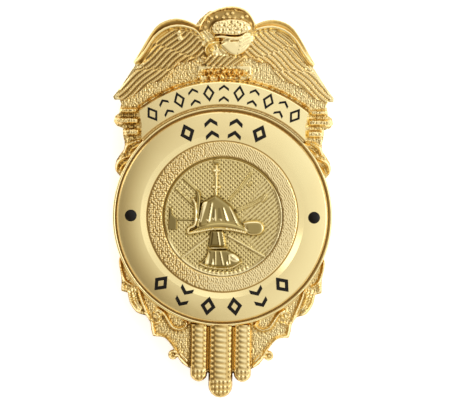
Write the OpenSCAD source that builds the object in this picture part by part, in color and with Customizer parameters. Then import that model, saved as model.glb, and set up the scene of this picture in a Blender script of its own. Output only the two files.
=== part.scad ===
// Firefighter badge of struck metal with black enamel, lying face up on its pin clasp.
// Seen from the front, X points to the right, Y to the top and Z out of the face.
// The origin is under the middle of the whole badge, on the surface it lies on.

/* [Back plate] */
// Thickness of the back plate
plate_t = 1.6; // [1:0.1:3]
// Width of the half round bead round the ring
rim_w = 0.6; // [0.4:0.1:1.2]
// Height of that bead above the plate
rim_h = 0.9; // [0.4:0.1:1.4]
// Width of the groove between the bead and the ring's face
rim_gap = 0.1; // [0.05:0.05:0.3]
// Clearance between stacked pieces
seat_gap = 0.03; // [0.02:0.01:0.1]

/* [Ring] */
// Outer radius of the domed ring
ring_r = 21.3; // [18:0.1:26]
// Radius where the ring's bevel ends and its trough starts
trough_r = 15.2; // [14:0.1:17]
// Width of the bevel between the ring's face and its trough
bevel_w = 1.2; // [0.6:0.1:2]
// Radius of the hole that the centre disc lies in
bore_r = 12.15; // [10:0.05:13]
// Height of the ring's crown above its seat
crown_h = 1.65; // [1.2:0.05:2.4]
// Radius of the curve across the ring's face, which falls outwards from its inner edge
crown_r = 26; // [12:0.5:40]
// Radius of the rounding at the ring's outer edge
edge_r = 0.9; // [0.4:0.1:1.1]
// Height of the trough above the ring's seat
trough_h = 0.75; // [0.5:0.05:1]
// Radius of the two round enamel dots
dot_r = 1.2; // [0.8:0.1:1.6]
// Rise of the dots above the ring's other enamel
dot_rise = 0.12; // [0.05:0.01:0.2]

/* [Panel] */
// Gap between the plate's bead and the curved panel
panel_gap = 0.3; // [0.2:0.05:1]
// Width of the panel from its inner to its outer edge
panel_w = 5; // [4:0.1:7]
// Thickness of the panel
panel_t = 1.55; // [1.2:0.05:2]
// Rounding of the panel's outer edge
panel_edge = 0.6; // [0.3:0.05:0.8]
// Half the panel's width at its upper corners
panel_top_x = 17.2; // [15:0.1:19]
// Half the panel's width at its waist
panel_waist_x = 16.35; // [14:0.05:18]

/* [Enamel] */
// Depth of the enamel pockets at the ring's crown and in the panel
pocket_t = 0.45; // [0.3:0.05:0.6]
// Clearance round the enamel in its pocket
enamel_gap = 0.03; // [0.02:0.01:0.06]
// Stroke of the ring's enamel figures
ring_stroke = 0.7; // [0.4:0.05:0.9]
// Half the width of a figure on the ring
ring_fig_w = 1.55; // [1.2:0.05:1.8]
// Half the height of a figure on the ring
ring_fig_h = 1.95; // [1.4:0.05:2.1]
// Figures on the upper half of the ring
ring_figs_top = 4; // [2:1:6]
// Figures on the lower half of the ring
ring_figs_low = 6; // [2:1:8]
// Angle between two figures on the upper half of the ring
ring_pitch_top = 15.6; // [13:0.1:18]
// Angle between two figures on the lower half of the ring
ring_pitch_low = 16.8; // [13:0.1:18]
// Stroke of the panel's enamel figures
panel_stroke = 0.45; // [0.3:0.05:0.6]
// Half the width of a figure on the panel
panel_fig_w = 1.2; // [0.9:0.05:1.4]
// Half the height of a figure on the panel
panel_fig_h = 1.75; // [1.3:0.05:1.8]
// Figures on the panel
panel_figs = 11; // [3:2:13]
// Angle between two figures on the panel
panel_pitch = 7; // [6:0.1:7.3]

/* [Eagle] */
// Width across the wing tips
wing_span = 44.4; // [42:0.1:50]
// Height of the eagle from the wing tips to the top of its crest
eagle_h = 19.1; // [17:0.1:24]
// Drop of the wing tips below the top of the panel
tip_drop = 4.25; // [3:0.05:5]
// Thickness of the eagle's own plate
eagle_t = 0.7; // [0.5:0.05:1.2]
// Height of the feathers above that plate
feather_h = 0.75; // [0.4:0.05:1.2]
// Half the width of a wing's smooth leading edge
wing_edge_w = 0.48; // [0.3:0.02:0.7]
// Feathers in each of a wing's three rows
feathers = 8; // [5:1:10]
// Feathers in the tail
tail_feathers = 8; // [5:1:10]

/* [Centre disc] */
// Gap round the centre disc
disc_gap = 0.2; // [0.1:0.05:0.5]
// Thickness of the centre disc
disc_t = 0.55; // [0.4:0.05:1.4]
// Height of the boldest relief on the disc
relief_h = 1.5; // [0.8:0.05:2]

/* [Borders and columns] */
// Reach of the scroll borders past the plate's bead
border_reach = 9; // [8:0.1:11]
// Height of the scroll relief above the plate
scroll_h = 0.9; // [0.5:0.05:1.4]
// Half the width of a scroll's ribbon
scroll_w = 0.4; // [0.3:0.02:0.5]
// Half the width of the middle column
column_w = 2.42; // [2:0.02:3]
// Half the width of a side column
side_column_w = 1.74; // [1.4:0.02:2.2]
// Gap between the middle column and a side column
column_gap = 0.22; // [0.15:0.01:0.5]
// Drop of the middle column below the plate's bead
column_drop = 14.3; // [12:0.1:18]
// Drop of the side columns below the plate's bead
side_drop = 11.1; // [10:0.1:14]
// Pitch of the ribs across a column
rib_pitch = 1.03; // [0.8:0.01:1.4]
// Height of a column's ribs above the plate
column_h = 1.25; // [0.8:0.05:1.6]

/* [Pin clasp] */
// Height of the clasp from its feet to the plate's back
clasp_h = 4.4; // [3.5:0.1:6]
// Length of the clasp
clasp_l = 30; // [20:0.5:34]
// Width of the clasp's strip and feet
clasp_w = 6; // [4:0.1:8]
// Length of each foot
foot_l = 5; // [3:0.1:7]
// Thickness of the strip against the plate
strip_t = 0.7; // [0.5:0.05:1.2]
// Diameter of the pin
pin_d = 1.2; // [0.8:0.05:1.6]
// Height of the clasp's middle above the ring's centre
clasp_rise = 5.4; // [2:0.1:8]

/* [Hidden] */

rim_r = ring_r + rim_gap + rim_w;
panel_in_r = rim_r + panel_gap;
panel_out_r = panel_in_r + panel_w;
disc_r = bore_r - disc_gap;
tip_y = panel_out_r - tip_drop;
crest_top = tip_y + eagle_h;
column_end = rim_r + column_drop;
centre_y = (column_end - crest_top) / 2;
plate_z = clasp_h + seat_gap;
seat_z = plate_z + plate_t + seat_gap;
side_column_x = column_w + column_gap + side_column_w;
face_in_r = trough_r + bevel_w;
figure_r = mix(face_in_r, ring_r, 0.35);
dot_x = mix(face_in_r, ring_r, 0.39);
ring_floor = crown_at(figure_r + ring_fig_h) - pocket_t;
panel_figure_r = (panel_in_r + panel_out_r) / 2;

// Half the angle that the crest's arcs of beads spread over
crest_spread = 68;
// How deep relief reaches into what it stands on
sink = 0.25;
// Steps between two points of an outline
step = 2;

GOLD = [0.87, 0.75, 0.45];
PALE_GOLD = [0.93, 0.84, 0.58];
OLD_GOLD = [0.80, 0.66, 0.36];
ENAMEL = [0.07, 0.06, 0.05];
STEEL = [0.72, 0.68, 0.56];

// Cross sections of raised strips: share of the half width, share of the height (-1 is the buried foot)
ROUND = [[-1, -1], [-0.45, 1], [0.45, 1], [1, -1]];
KEEL = [[-1, -1], [0, 1], [1, -1]];
FLAT = [[-1, -1], [-0.7, 1], [0.7, 1], [1, -1]];
RIBBED = [[-1, -1], [-0.84, 0.55], [-0.7, 0.85], [-0.52, 0.5], [-0.42, 1], [0.42, 1], [0.52, 0.5],
    [0.7, 0.85], [0.84, 0.55], [1, -1]];

function mix(a, b, t) = a + (b - a) * t;

// Height of the ring's face at a radius
function crown_at(r) = crown_h - crown_r + sqrt(crown_r * crown_r - (r - face_in_r) * (r - face_in_r));

function bezier(a, b, c, t) = mix(mix(a, b, t), mix(b, c, t), t);

// Catmull-Rom curve through rows of numbers, with the given steps between two rows
function spline_at(p, i, t) =
    let (n = len(p) - 1, a = p[max(i - 1, 0)], b = p[i], c = p[i + 1], d = p[min(i + 2, n)])
    0.5 * (2 * b + (c - a) * t + (2 * a - 5 * b + 4 * c - d) * t * t
        + (3 * b - a - 3 * c + d) * t * t * t);

function smooth(p, steps) = [
    for (i = [0 : len(p) - 2]) for (k = [0 : steps - 1]) spline_at(p, i, k / steps),
    p[len(p) - 1]
];

function reversed(p) = [for (i = [len(p) - 1 : -1 : 0]) p[i]];

// The profile of a fluted dome: flutes across a round back
function fluted(count, depth) = [
    [-1, -1],
    for (k = [1 : 2 * count - 1])
        let (s = k / count - 1)
        [s, sqrt(1 - 0.8 * s * s) - (k % 2 == 0 ? depth : 0)],
    [1, -1]
];

// Raised strip along a path; a row is [x, y, half width, height]
module strip(rows, section) {
    n = len(rows);
    m = len(section);
    points = [
        for (i = [0 : n - 1])
            let (a = rows[max(i - 1, 0)], b = rows[min(i + 1, n - 1)],
                d = [b.x - a.x, b.y - a.y], u = [-d.y, d.x] / norm(d))
            for (q = section)
                [rows[i].x - u.x * q[0] * rows[i][2], rows[i].y - u.y * q[0] * rows[i][2],
                    q[1] < 0 ? -sink : q[1] * rows[i][3]]
    ];
    faces = [
        [for (k = [0 : m - 1]) k],
        for (i = [0 : n - 2]) for (k = [0 : m - 1])
            let (e = (k + 1) % m) [i * m + k, (i + 1) * m + k, (i + 1) * m + e, i * m + e],
        [for (k = [m - 1 : -1 : 0]) (n - 1) * m + k]
    ];
    polyhedron(points, faces, convexity = 8);
}

// Low oval mound with half axes along x and y and a height
module mound(rx, ry, h, sides) {
    intersection() {
        scale([rx, ry, h]) sphere(1, $fn = sides);
        translate([-2 * rx, -2 * ry, -sink]) cube([4 * rx, 4 * ry, 2 * h]);
    }
}

// Small raised bead, a blunt cone of five sides
module bead(r, h) {
    hull() translate([0, 0, -sink]) cylinder(r1 = 1.15 * r, r2 = 0.55 * r, h = h + sink, $fn = 5);
}

// Place at an angle from straight down and at a share of the borders' reach past the bead
function border_at(a, share) =
    let (r = rim_r + share * border_reach) [r * sin(a), -r * cos(a)];

function border_rows(rows) = [
    for (q = rows) let (p = border_at(q[0], q[1])) [p.x, p.y, q[2] * scroll_w, q[3] * scroll_h]
];

function border_points(rows) = [for (q = rows) border_at(q[0], q[1])];

// Place from shares of half the wing span and of the eagle's height
function eagle_at(q) = [q[0] * wing_span / 2, tip_y + q[1] * eagle_h];

function eagle_rows(rows) = [
    for (q = rows) let (p = eagle_at(q)) [p.x, p.y, q[2] * wing_edge_w, q[3] * feather_h]
];

// Place from shares of the centre disc's radius
function disc_rows(rows) = [
    for (q = rows) [q[0] * disc_r, q[1] * disc_r, q[2] * disc_r, q[3] * relief_h]
];

module both_sides() {
    children();
    mirror([1, 0, 0]) children();
}

// Outline of the eagle, as stretches of a curve that meet at corners; rows are shares [x, y]
WING_TOP = [[0.255, 0.8], [0.34, 0.845], [0.44, 0.865], [0.545, 0.835], [0.625, 0.77],
    [0.7, 0.64], [0.76, 0.515], [0.82, 0.4]];
WING_END = [[0.802, 0.37], [0.93, 0.14], [1, 0.035], [0.985, 0.003], [0.95, 0.005]];
WING_FOOT = [[0.9, 0], [0.82, 0.045], [0.745, 0.11], [0.665, 0.175], [0.565, 0.21],
    [0.505, 0.25], [0.455, 0.315], [0.41, 0.4]];
WING_ARM = [[0.36, 0.41], [0.295, 0.415], [0.235, 0.465]];
TAIL_EDGE = [[0.18, 0.44], [0.15, 0.355]];
CREST = [[-0.236, 0.76], [-0.171, 0.9], [-0.054, 0.975], [0.072, 1], [0.18, 0.97],
    [0.243, 0.895], [0.288, 0.79]];

function wing_points() = [
    for (q = smooth(WING_TOP, step)) eagle_at(q),
    for (q = WING_END) eagle_at(q),
    for (q = smooth(WING_FOOT, step)) eagle_at(q),
    for (q = smooth(WING_ARM, step)) eagle_at(q),
    for (q = TAIL_EDGE) eagle_at(q)
];

module eagle_outline() {
    both_sides() polygon(concat([eagle_at([0, 0.36])], reversed(wing_points()), [eagle_at([0, 0.8])]));
    polygon([for (q = smooth(CREST, step)) eagle_at(q)]);
}

// Outline of the field under the eagle, just inside its edge
FIELD = [[0.925, -0.04], [0.95, 0.04], [0.975, 0.045], [0.915, 0.14], [0.79, 0.37], [0.74, 0.51],
    [0.68, 0.63], [0.6, 0.76], [0.5, 0.83], [0.4, 0.84], [0.27, 0.79], [0.22, 0.87], [0.14, 0.95],
    [0, 0.96]];

// Rows of feathers: [outermost feather, innermost feather, how far the roots bow out, height],
// where a feather is [root, bend, tip] in shares
WING_ROWS = [
    [[[0.53, 0.7], [0.625, 0.59], [0.705, 0.435]],
        [[0.22, 0.66], [0.225, 0.6], [0.25, 0.535]], 0.055, 0.9],
    [[[0.675, 0.505], [0.735, 0.42], [0.775, 0.362]],
        [[0.235, 0.56], [0.255, 0.49], [0.32, 0.425]], 0.04, 1.1],
    [[[0.765, 0.385], [0.85, 0.25], [0.972, 0.06]],
        [[0.405, 0.44], [0.46, 0.3], [0.58, 0.215]], 0, 1]
];
TAIL_ROW = [[[-0.085, 0.5], [-0.155, 0.44], [-0.225, 0.37]],
    [[0.185, 0.475], [0.17, 0.42], [0.14, 0.365]], 0, 0.9];

module feather_row(row, count) {
    a = row[0];
    b = row[1];
    for (i = [0 : count - 1]) {
        s = (i + 0.5) / count;
        run = eagle_at(mix(a[2], b[2], s)) - eagle_at(mix(a[0], b[0], s));
        rows = [
            for (t = [0, 0.5, 0.88, 1])
                let (first = bezier(a[0], a[1], a[2], t), last = bezier(b[0], b[1], b[2], t),
                    lift = [0, row[2] * 4 * s * (1 - s) * (1 - t)],
                    p = eagle_at(mix(first, last, s) + lift),
                    across = eagle_at(first) - eagle_at(last),
                    pitch = abs(across.x * run.y - across.y * run.x) / norm(run) / count)
                [p.x, p.y, pitch * (t < 1 ? 0.44 : 0.2),
                    row[3] * feather_h * (t < 1 ? 0.75 + 0.3 * t : 0.6)]
        ];
        strip(rows, KEEL);
    }
}

// Smooth leading edge of a wing: [x share, y share, share of the edge's half width, height]
WING_EDGE = [[0.19, 0.64, 0.6, 1], [0.25, 0.73, 0.85, 1.2], [0.33, 0.77, 0.95, 1.3],
    [0.43, 0.785, 1, 1.3], [0.54, 0.75, 1, 1.3], [0.63, 0.665, 0.95, 1.25],
    [0.7, 0.54, 0.9, 1.15], [0.765, 0.43, 0.85, 1.05], [0.806, 0.388, 0.5, 0.8]];

// Curled beak at the left of the breast
HOOK = [[-0.03, 0.622, 0.75, 1.3], [-0.095, 0.618, 0.8, 1.35], [-0.15, 0.585, 0.75, 1.3],
    [-0.172, 0.53, 0.7, 1.2], [-0.145, 0.485, 0.6, 1.1], [-0.105, 0.49, 0.45, 0.9]];

// Lip under the head
LIP = [[-0.088, 0.66, 0.45, 1.2], [-0.025, 0.683, 0.6, 1.4], [0.045, 0.67, 0.6, 1.4],
    [0.12, 0.67, 0.6, 1.4], [0.19, 0.7, 0.85, 1.4], [0.25, 0.73, 0.6, 1.2]];

module feathered_wing() {
    for (row = WING_ROWS) feather_row(row, feathers);
    strip(smooth(eagle_rows(WING_EDGE), step), ROUND);
}

// Head, breast and beak between the wings
module eagle_head() {
    translate(eagle_at([0.048, 0.785])) mound(0.08 * wing_span, 0.07 * eagle_h, 1.75 * feather_h, 10);
    translate(eagle_at([0.088, 0.585])) mound(0.064 * wing_span, 0.1 * eagle_h, 2.2 * feather_h, 10);
    translate(eagle_at([-0.115, 0.545])) bead(1.1 * wing_edge_w, feather_h);
    for (rows = [HOOK, LIP]) strip(smooth(eagle_rows(rows), step), ROUND);
}

// Arcs of beads inside the crest's edge: [share of the crest's size, beads, share of the edge's width]
CREST_ARCS = [[0.8, 8, 0.56], [0.885, 9, 0.42]];

// Edge of the crest with its arcs of beads
module crest_edge() {
    edge = [for (q = CREST) [mix(0.03, q[0], 0.955), mix(0.5, q[1], 0.965), 0.46, 0.7]];
    strip(smooth(eagle_rows(edge), step), ROUND);
    for (arc = CREST_ARCS) for (i = [0 : arc[1] - 1]) {
        a = 90 + crest_spread * (1 - 2 * i / (arc[1] - 1));
        share = [0.03 + 0.24 * arc[0] * cos(a), 0.735 + 0.265 * arc[0] * sin(a)];
        translate(eagle_at(share)) bead(arc[2] * wing_edge_w, 0.6 * feather_h);
    }
}

// Row of small leaves between the tail and the panel
module leaf_row() {
    for (i = [-5 : 5]) {
        a = 2.05 * i;
        r = panel_out_r + (i % 2 == 0 ? 0.08 : 0.055) * eagle_h;
        translate([r * sin(a), r * cos(a), 0])
            bead((i == 0 ? 1.5 : 1.15) * wing_edge_w, 0.9 * feather_h);
    }
}

module eagle_plate() {
    linear_extrude(eagle_t) {
        eagle_outline();
        difference() {
            translate([-0.12 * wing_span, 0]) square([0.24 * wing_span, tip_y + 0.37 * eagle_h]);
            circle(panel_out_r + panel_gap, $fn = 120);
        }
    }
}

module eagle() {
    color(GOLD) translate([0, centre_y, seat_z]) union() {
        eagle_plate();
        translate([0, 0, eagle_t]) {
            both_sides() feathered_wing();
            feather_row(TAIL_ROW, tail_feathers);
            eagle_head();
            crest_edge();
            leaf_row();
        }
    }
}

// Outline of the lower border from the plate's bead to the side column: [angle, share of the reach]
LOW_EDGE = [
    [[69.5, -0.05], [66, 0.07], [61.5, 0.13], [57.5, 0.2], [53, 0.35]],
    [[50.5, 0.26], [46.5, 0.37], [41.5, 0.42], [38.5, 0.37]],
    [[37, 0.34], [33.5, 0.41], [31.5, 0.53], [29.5, 0.63]],
    [[28, 0.6], [25, 0.54], [21.5, 0.59], [19.8, 0.68]],
    [[17, 0.84], [14.5, 0.95], [11.5, 1.01]]
];

// Outline of the side border from under a wing tip to the plate's bead
SIDE_EDGE = [[137.5, 0.93], [135.5, 0.86], [134.5, 0.81], [132.5, 0.83], [130.5, 0.77], [130, 0.66],
    [131, 0.52], [128.5, 0.41], [127, 0.31], [125.5, 0.25], [123.5, 0.21], [121, 0.22],
    [117.5, 0.23], [114.5, 0.2], [112.5, 0.14], [111, 0.02]];

// Scroll strips of the lower border: [angle, share of the reach, share of a ribbon's half width, height]
SCROLLS = [
    [[68, -0.01, 0.5, 0.7], [63.5, 0.08, 0.85, 1], [59, 0.13, 0.85, 1], [55, 0.14, 0.75, 1],
        [52, 0.08, 0.55, 0.8]],
    [[49.5, -0.01, 0.75, 0.8], [45.5, 0.09, 1.05, 1.1], [41, 0.19, 1.15, 1.2], [37.5, 0.27, 1.05, 1.1],
        [34.5, 0.35, 0.75, 0.9]],
    [[35, 0.07, 0.5, 0.8], [31, 0.06, 0.9, 1], [27, 0.16, 1.1, 1.2], [23.5, 0.25, 1.1, 1.2],
        [20, 0.23, 1, 1.1], [17.7, 0.13, 0.85, 1], [18.2, 0.03, 0.7, 0.9], [20.2, 0.03, 0.5, 0.8]],
    [[29, 0.57, 0.5, 0.7], [24.7, 0.53, 0.75, 0.9], [21.6, 0.59, 0.85, 1], [18.8, 0.7, 0.85, 1],
        [15.8, 0.83, 0.85, 1], [12.3, 0.95, 0.7, 0.9]],
    [[33, 0.36, 0.7, 0.8], [31, 0.47, 0.85, 1], [29.2, 0.58, 0.7, 0.8]],
    [[17, 0.72, 0.4, 0.6], [14.5, 0.8, 0.5, 0.7], [12.7, 0.87, 0.4, 0.6]],
    [[29.5, 0.25, 0.5, 0.6], [30.6, 0.3, 1.05, 0.8], [31.4, 0.36, 0.5, 0.6]]
];

// Ridges of the large leaf in the lower border
LEAF_RIDGES = [
    [[51.3, 0.22, 0.5, 0.8], [46.3, 0.335, 0.75, 1.1], [42.5, 0.375, 0.75, 1.1], [39.8, 0.35, 0.45, 0.8]],
    [[51, 0.14, 0.45, 0.8], [46, 0.265, 0.7, 1], [42.5, 0.32, 0.7, 1], [40, 0.32, 0.4, 0.8]],
    [[50.6, 0.06, 0.45, 0.8], [45.8, 0.195, 0.65, 1], [42.5, 0.26, 0.6, 1], [40.4, 0.285, 0.4, 0.8]]
];

// Leaves of the side border: outer ridge and inner ridge
SIDE_LEAVES = [
    [[132.5, 0.03, 0.5, 0.8], [129, 0.15, 0.85, 1.1], [125.5, 0.19, 0.9, 1.2], [122.3, 0.15, 0.7, 1]],
    [[129, 0.01, 0.5, 0.6], [126.5, 0.07, 0.6, 0.8], [124, 0.07, 0.5, 0.7]],
    [[122.5, 0.02, 0.5, 0.8], [119, 0.13, 0.85, 1.1], [115.5, 0.165, 0.9, 1.2], [112.6, 0.11, 0.7, 1]],
    [[118.5, 0.01, 0.5, 0.6], [116, 0.06, 0.6, 0.8], [113.8, 0.06, 0.5, 0.7]]
];

// Bundled bars under a wing tip: [height as a share of the panel's outer radius, inner end, outer end,
// share of a ribbon's half width], where the ends are shares of the borders' reach past the panel's waist
SIDE_BARS = [[0.77, 0.11, 0.48, 1.55], [0.696, 0.07, 0.59, 2.1], [0.613, 0.05, 0.38, 2.25]];

module low_border_outline() {
    polygon(concat(
        [[0, 0]],
        [for (stretch = LOW_EDGE) for (q = smooth(border_points(stretch), step)) q],
        [[side_column_x, -rim_r - 0.7 * side_drop]]
    ));
    translate(border_at(19, 0.82)) circle(2.5 * scroll_w, $fn = 12);
}

module side_border_outline() {
    polygon(concat([[0, 0], [panel_waist_x, panel_out_r * 0.75]], border_points(SIDE_EDGE)));
}

module column_outline(x, w, drop) {
    translate([x, -rim_r - drop + w]) circle(w, $fn = 16);
    translate([0, -rim_r - drop + w]) square([x + w, drop]);
}

// Field that carries the panel and the eagle
module upper_field() {
    both_sides() polygon(concat([[0, 0], [panel_waist_x, 0.5 * panel_out_r]],
        [for (q = FIELD) eagle_at(q)]));
}

module plate_outline() {
    circle(rim_r - seat_gap, $fn = 60);
    upper_field();
    both_sides() {
        low_border_outline();
        side_border_outline();
        column_outline(side_column_x, side_column_w, side_drop);
        column_outline(0, column_w, column_drop);
    }
}

// One ribbed column: its height swells at each rib and sinks between two ribs, and its round end is beaded
module column(x, w, drop) {
    end = -rim_r - drop + w;
    ribs = floor((drop - 0.2 * w) / rib_pitch);
    strip([
        for (i = [0 : 2 * ribs + 1])
            let (y = -rim_r + rim_w - i * rib_pitch / 2, past = min(max(end - y, 0), 0.97 * w))
            [x, y, 0.95 * sqrt(w * w - past * past), column_h * (i % 2 == 0 ? 0.55 : 1)]
    ], RIBBED);
    for (a = [-40, 0, 40]) translate([x + 0.72 * w * sin(a), end - 0.72 * w * cos(a)])
        bead(0.2 * w, 0.9 * column_h);
}

module scrolls() {
    for (table = [SCROLLS, SIDE_LEAVES]) for (rows = table)
        strip(smooth(border_rows(rows), len(rows) > 3 ? step : 1), ROUND);
    for (rows = LEAF_RIDGES) strip(border_rows(rows), KEEL);
    translate(border_at(54, 0.26)) bead(1.5 * scroll_w, 0.6 * scroll_h);
    translate(border_at(33, 0.17)) curl(1.8 * scroll_w);
    translate(border_at(19, 0.82)) curl(1.75 * scroll_w);
}

// Small curl, drawn as a round ring with a bead in it
module curl(r) {
    rows = [for (a = [20 : 45 : 335]) [r * cos(a), r * sin(a), 0.36 * r, scroll_h]];
    strip(rows, KEEL);
    bead(0.3 * r, 0.8 * scroll_h);
}

module side_bars() {
    for (b = SIDE_BARS) {
        y = b[0] * panel_out_r;
        x0 = panel_waist_x + b[1] * border_reach;
        x1 = panel_waist_x + b[2] * border_reach;
        w = b[3] * scroll_w;
        strip([[x0, y, 0.8 * w, 0.8 * scroll_h], [x0 + scroll_w, y, w, 1.1 * scroll_h],
            [x1 - scroll_w, y, w, 1.1 * scroll_h], [x1, y, 0.6 * w, 0.7 * scroll_h]], ROUND);
    }
}

module border_relief() {
    both_sides() {
        scrolls();
        side_bars();
        column(side_column_x, side_column_w, side_drop);
        column_fillet();
    }
    column(0, column_w, column_drop);
}

// Thin bright fillet between the middle column and a side column
module column_fillet() {
    strip([for (y = [0, -side_drop + 1.3 * side_column_w])
        [column_w + column_gap / 2, -rim_r + y, 0.75 * column_gap, 0.8 * column_h]], FLAT);
}

module body() {
    color(OLD_GOLD) translate([0, centre_y, plate_z]) union() {
        linear_extrude(plate_t) plate_outline();
        translate([0, 0, plate_t]) difference() {
            border_relief();
            cylinder(r = rim_r + 2 * seat_gap, h = 2 * column_h, $fn = 90);
        }
    }
}

// Domed section of the ring, from its bore to its outer edge
module ring_section() {
    shoulder_h = crown_at(ring_r - edge_r) - edge_r;
    intersection() {
        union() {
            translate([bore_r, 0]) square([ring_r - edge_r - bore_r, crown_h]);
            translate([bore_r, 0]) square([ring_r - bore_r, shoulder_h]);
            translate([ring_r - edge_r, shoulder_h]) circle(edge_r, $fn = 48);
        }
        translate([face_in_r, crown_h - crown_r]) circle(crown_r, $fn = 180);
        polygon([[bore_r, 0], [ring_r, 0], [ring_r, crown_h], [face_in_r, crown_h],
            [trough_r, trough_h], [bore_r, trough_h]]);
    }
    translate([bore_r, 0]) square([trough_r - bore_r, trough_h]);
    translate([ring_r - edge_r / 2, 0]) square([edge_r / 2 + rim_gap + rim_w / 2, rim_h / 2]);
    translate([rim_r - rim_w, 0]) square([rim_w, rim_h - rim_w / 2]);
    translate([rim_r - rim_w / 2, rim_h - rim_w / 2]) circle(rim_w / 2, $fn = 48);
}

// Open lozenge: grow is how far its edges move out of the metal on both sides
module lozenge(w, h, stroke, grow) {
    slope = norm([w, h]) / (w * h);
    outer = 1 + grow * slope;
    inner = 1 - (stroke + grow) * slope;
    difference() {
        polygon([[w * outer, 0], [0, h * outer], [-w * outer, 0], [0, -h * outer]]);
        polygon([[w * inner, 0], [0, h * inner], [-w * inner, 0], [0, -h * inner]]);
    }
}

// Pair of chevrons, one above the other
module chevrons(w, h, stroke, grow) {
    slope = 0.75;
    rise = slope * w;
    thick = stroke * norm([w, rise]) / w;
    g = grow * norm([w, rise]) / w;
    drop = slope * grow;
    pitch = 1.55 * h - 0.25 * rise;
    for (y = [h - rise, h - rise - pitch])
        polygon([[-w - grow, y - thick - drop - g], [0, y + rise - thick - g],
            [w + grow, y - thick - drop - g], [w + grow, y - drop + g], [0, y + rise + g],
            [-w - grow, y - drop + g]]);
}

// Figures in a row round the ring's centre, lozenges first, then chevrons in turn
module figures(count, r, spread, turn, w, h, stroke, grow) {
    for (i = [0 : count - 1]) {
        a = count > 1 ? spread * (i / (count - 1) - 0.5) : 0;
        from_end = min(i, count - 1 - i);
        rotate(turn - a) translate([0, r]) {
            if (from_end % 2 == 0) lozenge(w, h, stroke, grow);
            else chevrons(0.85 * w, 0.9 * h, stroke, grow);
        }
    }
}

// Figures on the upper or the lower half of the ring
module ring_figures(top, grow) {
    count = top ? ring_figs_top : ring_figs_low;
    pitch = top ? ring_pitch_top : ring_pitch_low;
    figures(count, figure_r, pitch * (count - 1), top ? 0 : 180, ring_fig_w, ring_fig_h, ring_stroke, grow);
}

module panel_figures(grow) {
    figures(panel_figs, panel_figure_r, panel_pitch * (panel_figs - 1), 0, panel_fig_w, panel_fig_h,
        panel_stroke, grow);
}

module legend_ring() {
    color(PALE_GOLD) translate([0, centre_y, seat_z]) difference() {
        rotate_extrude($fn = 180) ring_section();
        translate([0, 0, ring_floor]) linear_extrude(crown_h) {
            ring_figures(true, 0);
            ring_figures(false, 0);
        }
        both_sides() translate([dot_x, 0, ring_floor]) cylinder(r = dot_r, h = crown_h, $fn = 48);
    }
}

// The enamel's face lies just under the ring's and follows its fall
module ring_enamel(top) {
    color(ENAMEL) translate([0, centre_y, seat_z]) intersection() {
        translate([0, 0, ring_floor + enamel_gap]) linear_extrude(crown_h) ring_figures(top, -enamel_gap);
        rotate_extrude($fn = 180) intersection() {
            translate([trough_r, 0]) square([ring_r - trough_r, crown_h]);
            translate([face_in_r, crown_h - enamel_gap - crown_r]) circle(crown_r, $fn = 180);
        }
    }
}

module enamel_dot(side) {
    swell = 2.6 * dot_r;
    h = crown_at(dot_x) - ring_floor - 2 * enamel_gap + dot_rise;
    color(ENAMEL) translate([side * dot_x, centre_y, seat_z + ring_floor + enamel_gap]) intersection() {
        cylinder(r = dot_r - enamel_gap, h = h, $fn = 48);
        translate([0, 0, h - swell]) sphere(swell, $fn = 96);
    }
}

// Curved panel with upright, slightly hollow ends
module banner() {
    low_y = panel_in_r * cos(asin(panel_waist_x / panel_in_r)) - panel_edge;
    side = [[panel_waist_x, low_y], [panel_waist_x, 0.67 * panel_out_r],
        [panel_top_x, 0.82 * panel_out_r], [panel_top_x, panel_out_r + panel_edge]];
    color(PALE_GOLD) translate([0, centre_y, seat_z]) difference() {
        intersection() {
            rotate_extrude($fn = 180) polygon([[panel_in_r, 0], [panel_out_r, 0],
                [panel_out_r, panel_t - panel_edge],
                [panel_out_r - 0.7 * panel_edge, panel_t - 0.1 * panel_edge],
                [panel_out_r - panel_edge, panel_t], [panel_in_r + 0.4 * panel_edge, panel_t],
                [panel_in_r, panel_t - 0.4 * panel_edge]]);
            linear_extrude(2 * panel_t)
                polygon(concat(side, reversed([for (q = side) [-q.x, q.y]])));
        }
        translate([0, 0, panel_t - pocket_t]) linear_extrude(panel_t) panel_figures(0);
    }
}

module banner_enamel() {
    color(ENAMEL) translate([0, centre_y, seat_z + panel_t - pocket_t + enamel_gap])
        linear_extrude(pocket_t - enamel_gap) panel_figures(-enamel_gap);
}

// Relief of the centre disc: [x, y, half width] in shares of its radius, then a share of the boldest height
CROWN = [[-0.12, 0.37, 0.03, 0.45], [-0.125, 0.28, 0.14, 0.75], [-0.115, 0.12, 0.26, 0.95],
    [-0.08, -0.04, 0.345, 1], [-0.06, -0.14, 0.375, 0.9]];
BRIM = [[-0.53, -0.275, 0.03, 0.6], [-0.42, -0.21, 0.055, 0.75], [-0.25, -0.16, 0.07, 0.9],
    [0, -0.15, 0.075, 1.05], [0.2, -0.185, 0.075, 0.95], [0.36, -0.22, 0.08, 0.8]];
BRIM_LIP = [[-0.54, -0.3, 0.025, 0.7], [-0.38, -0.235, 0.025, 0.85], [-0.2, -0.22, 0.028, 1],
    [0, -0.228, 0.03, 1.05], [0.17, -0.25, 0.028, 1], [0.34, -0.295, 0.025, 0.9], [0.5, -0.32, 0.025, 0.8],
    [0.63, -0.3, 0.02, 0.7]];
BRIM_CURL = [[-0.49, -0.11, 0.02, 0.6], [-0.565, -0.15, 0.03, 0.7], [-0.59, -0.225, 0.03, 0.7],
    [-0.54, -0.295, 0.025, 0.6]];
FRONT_PIECE = [[-0.38, 0.44, 0.025, 0.5], [-0.43, 0.38, 0.035, 0.6], [-0.46, 0.22, 0.035, 0.7],
    [-0.46, 0, 0.035, 0.75], [-0.47, -0.1, 0.03, 0.6]];
FRONT_BADGE = [[-0.395, 0.43, 0.03, 0.5], [-0.4, 0.3, 0.05, 0.6], [-0.42, 0.1, 0.03, 0.6]];
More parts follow.
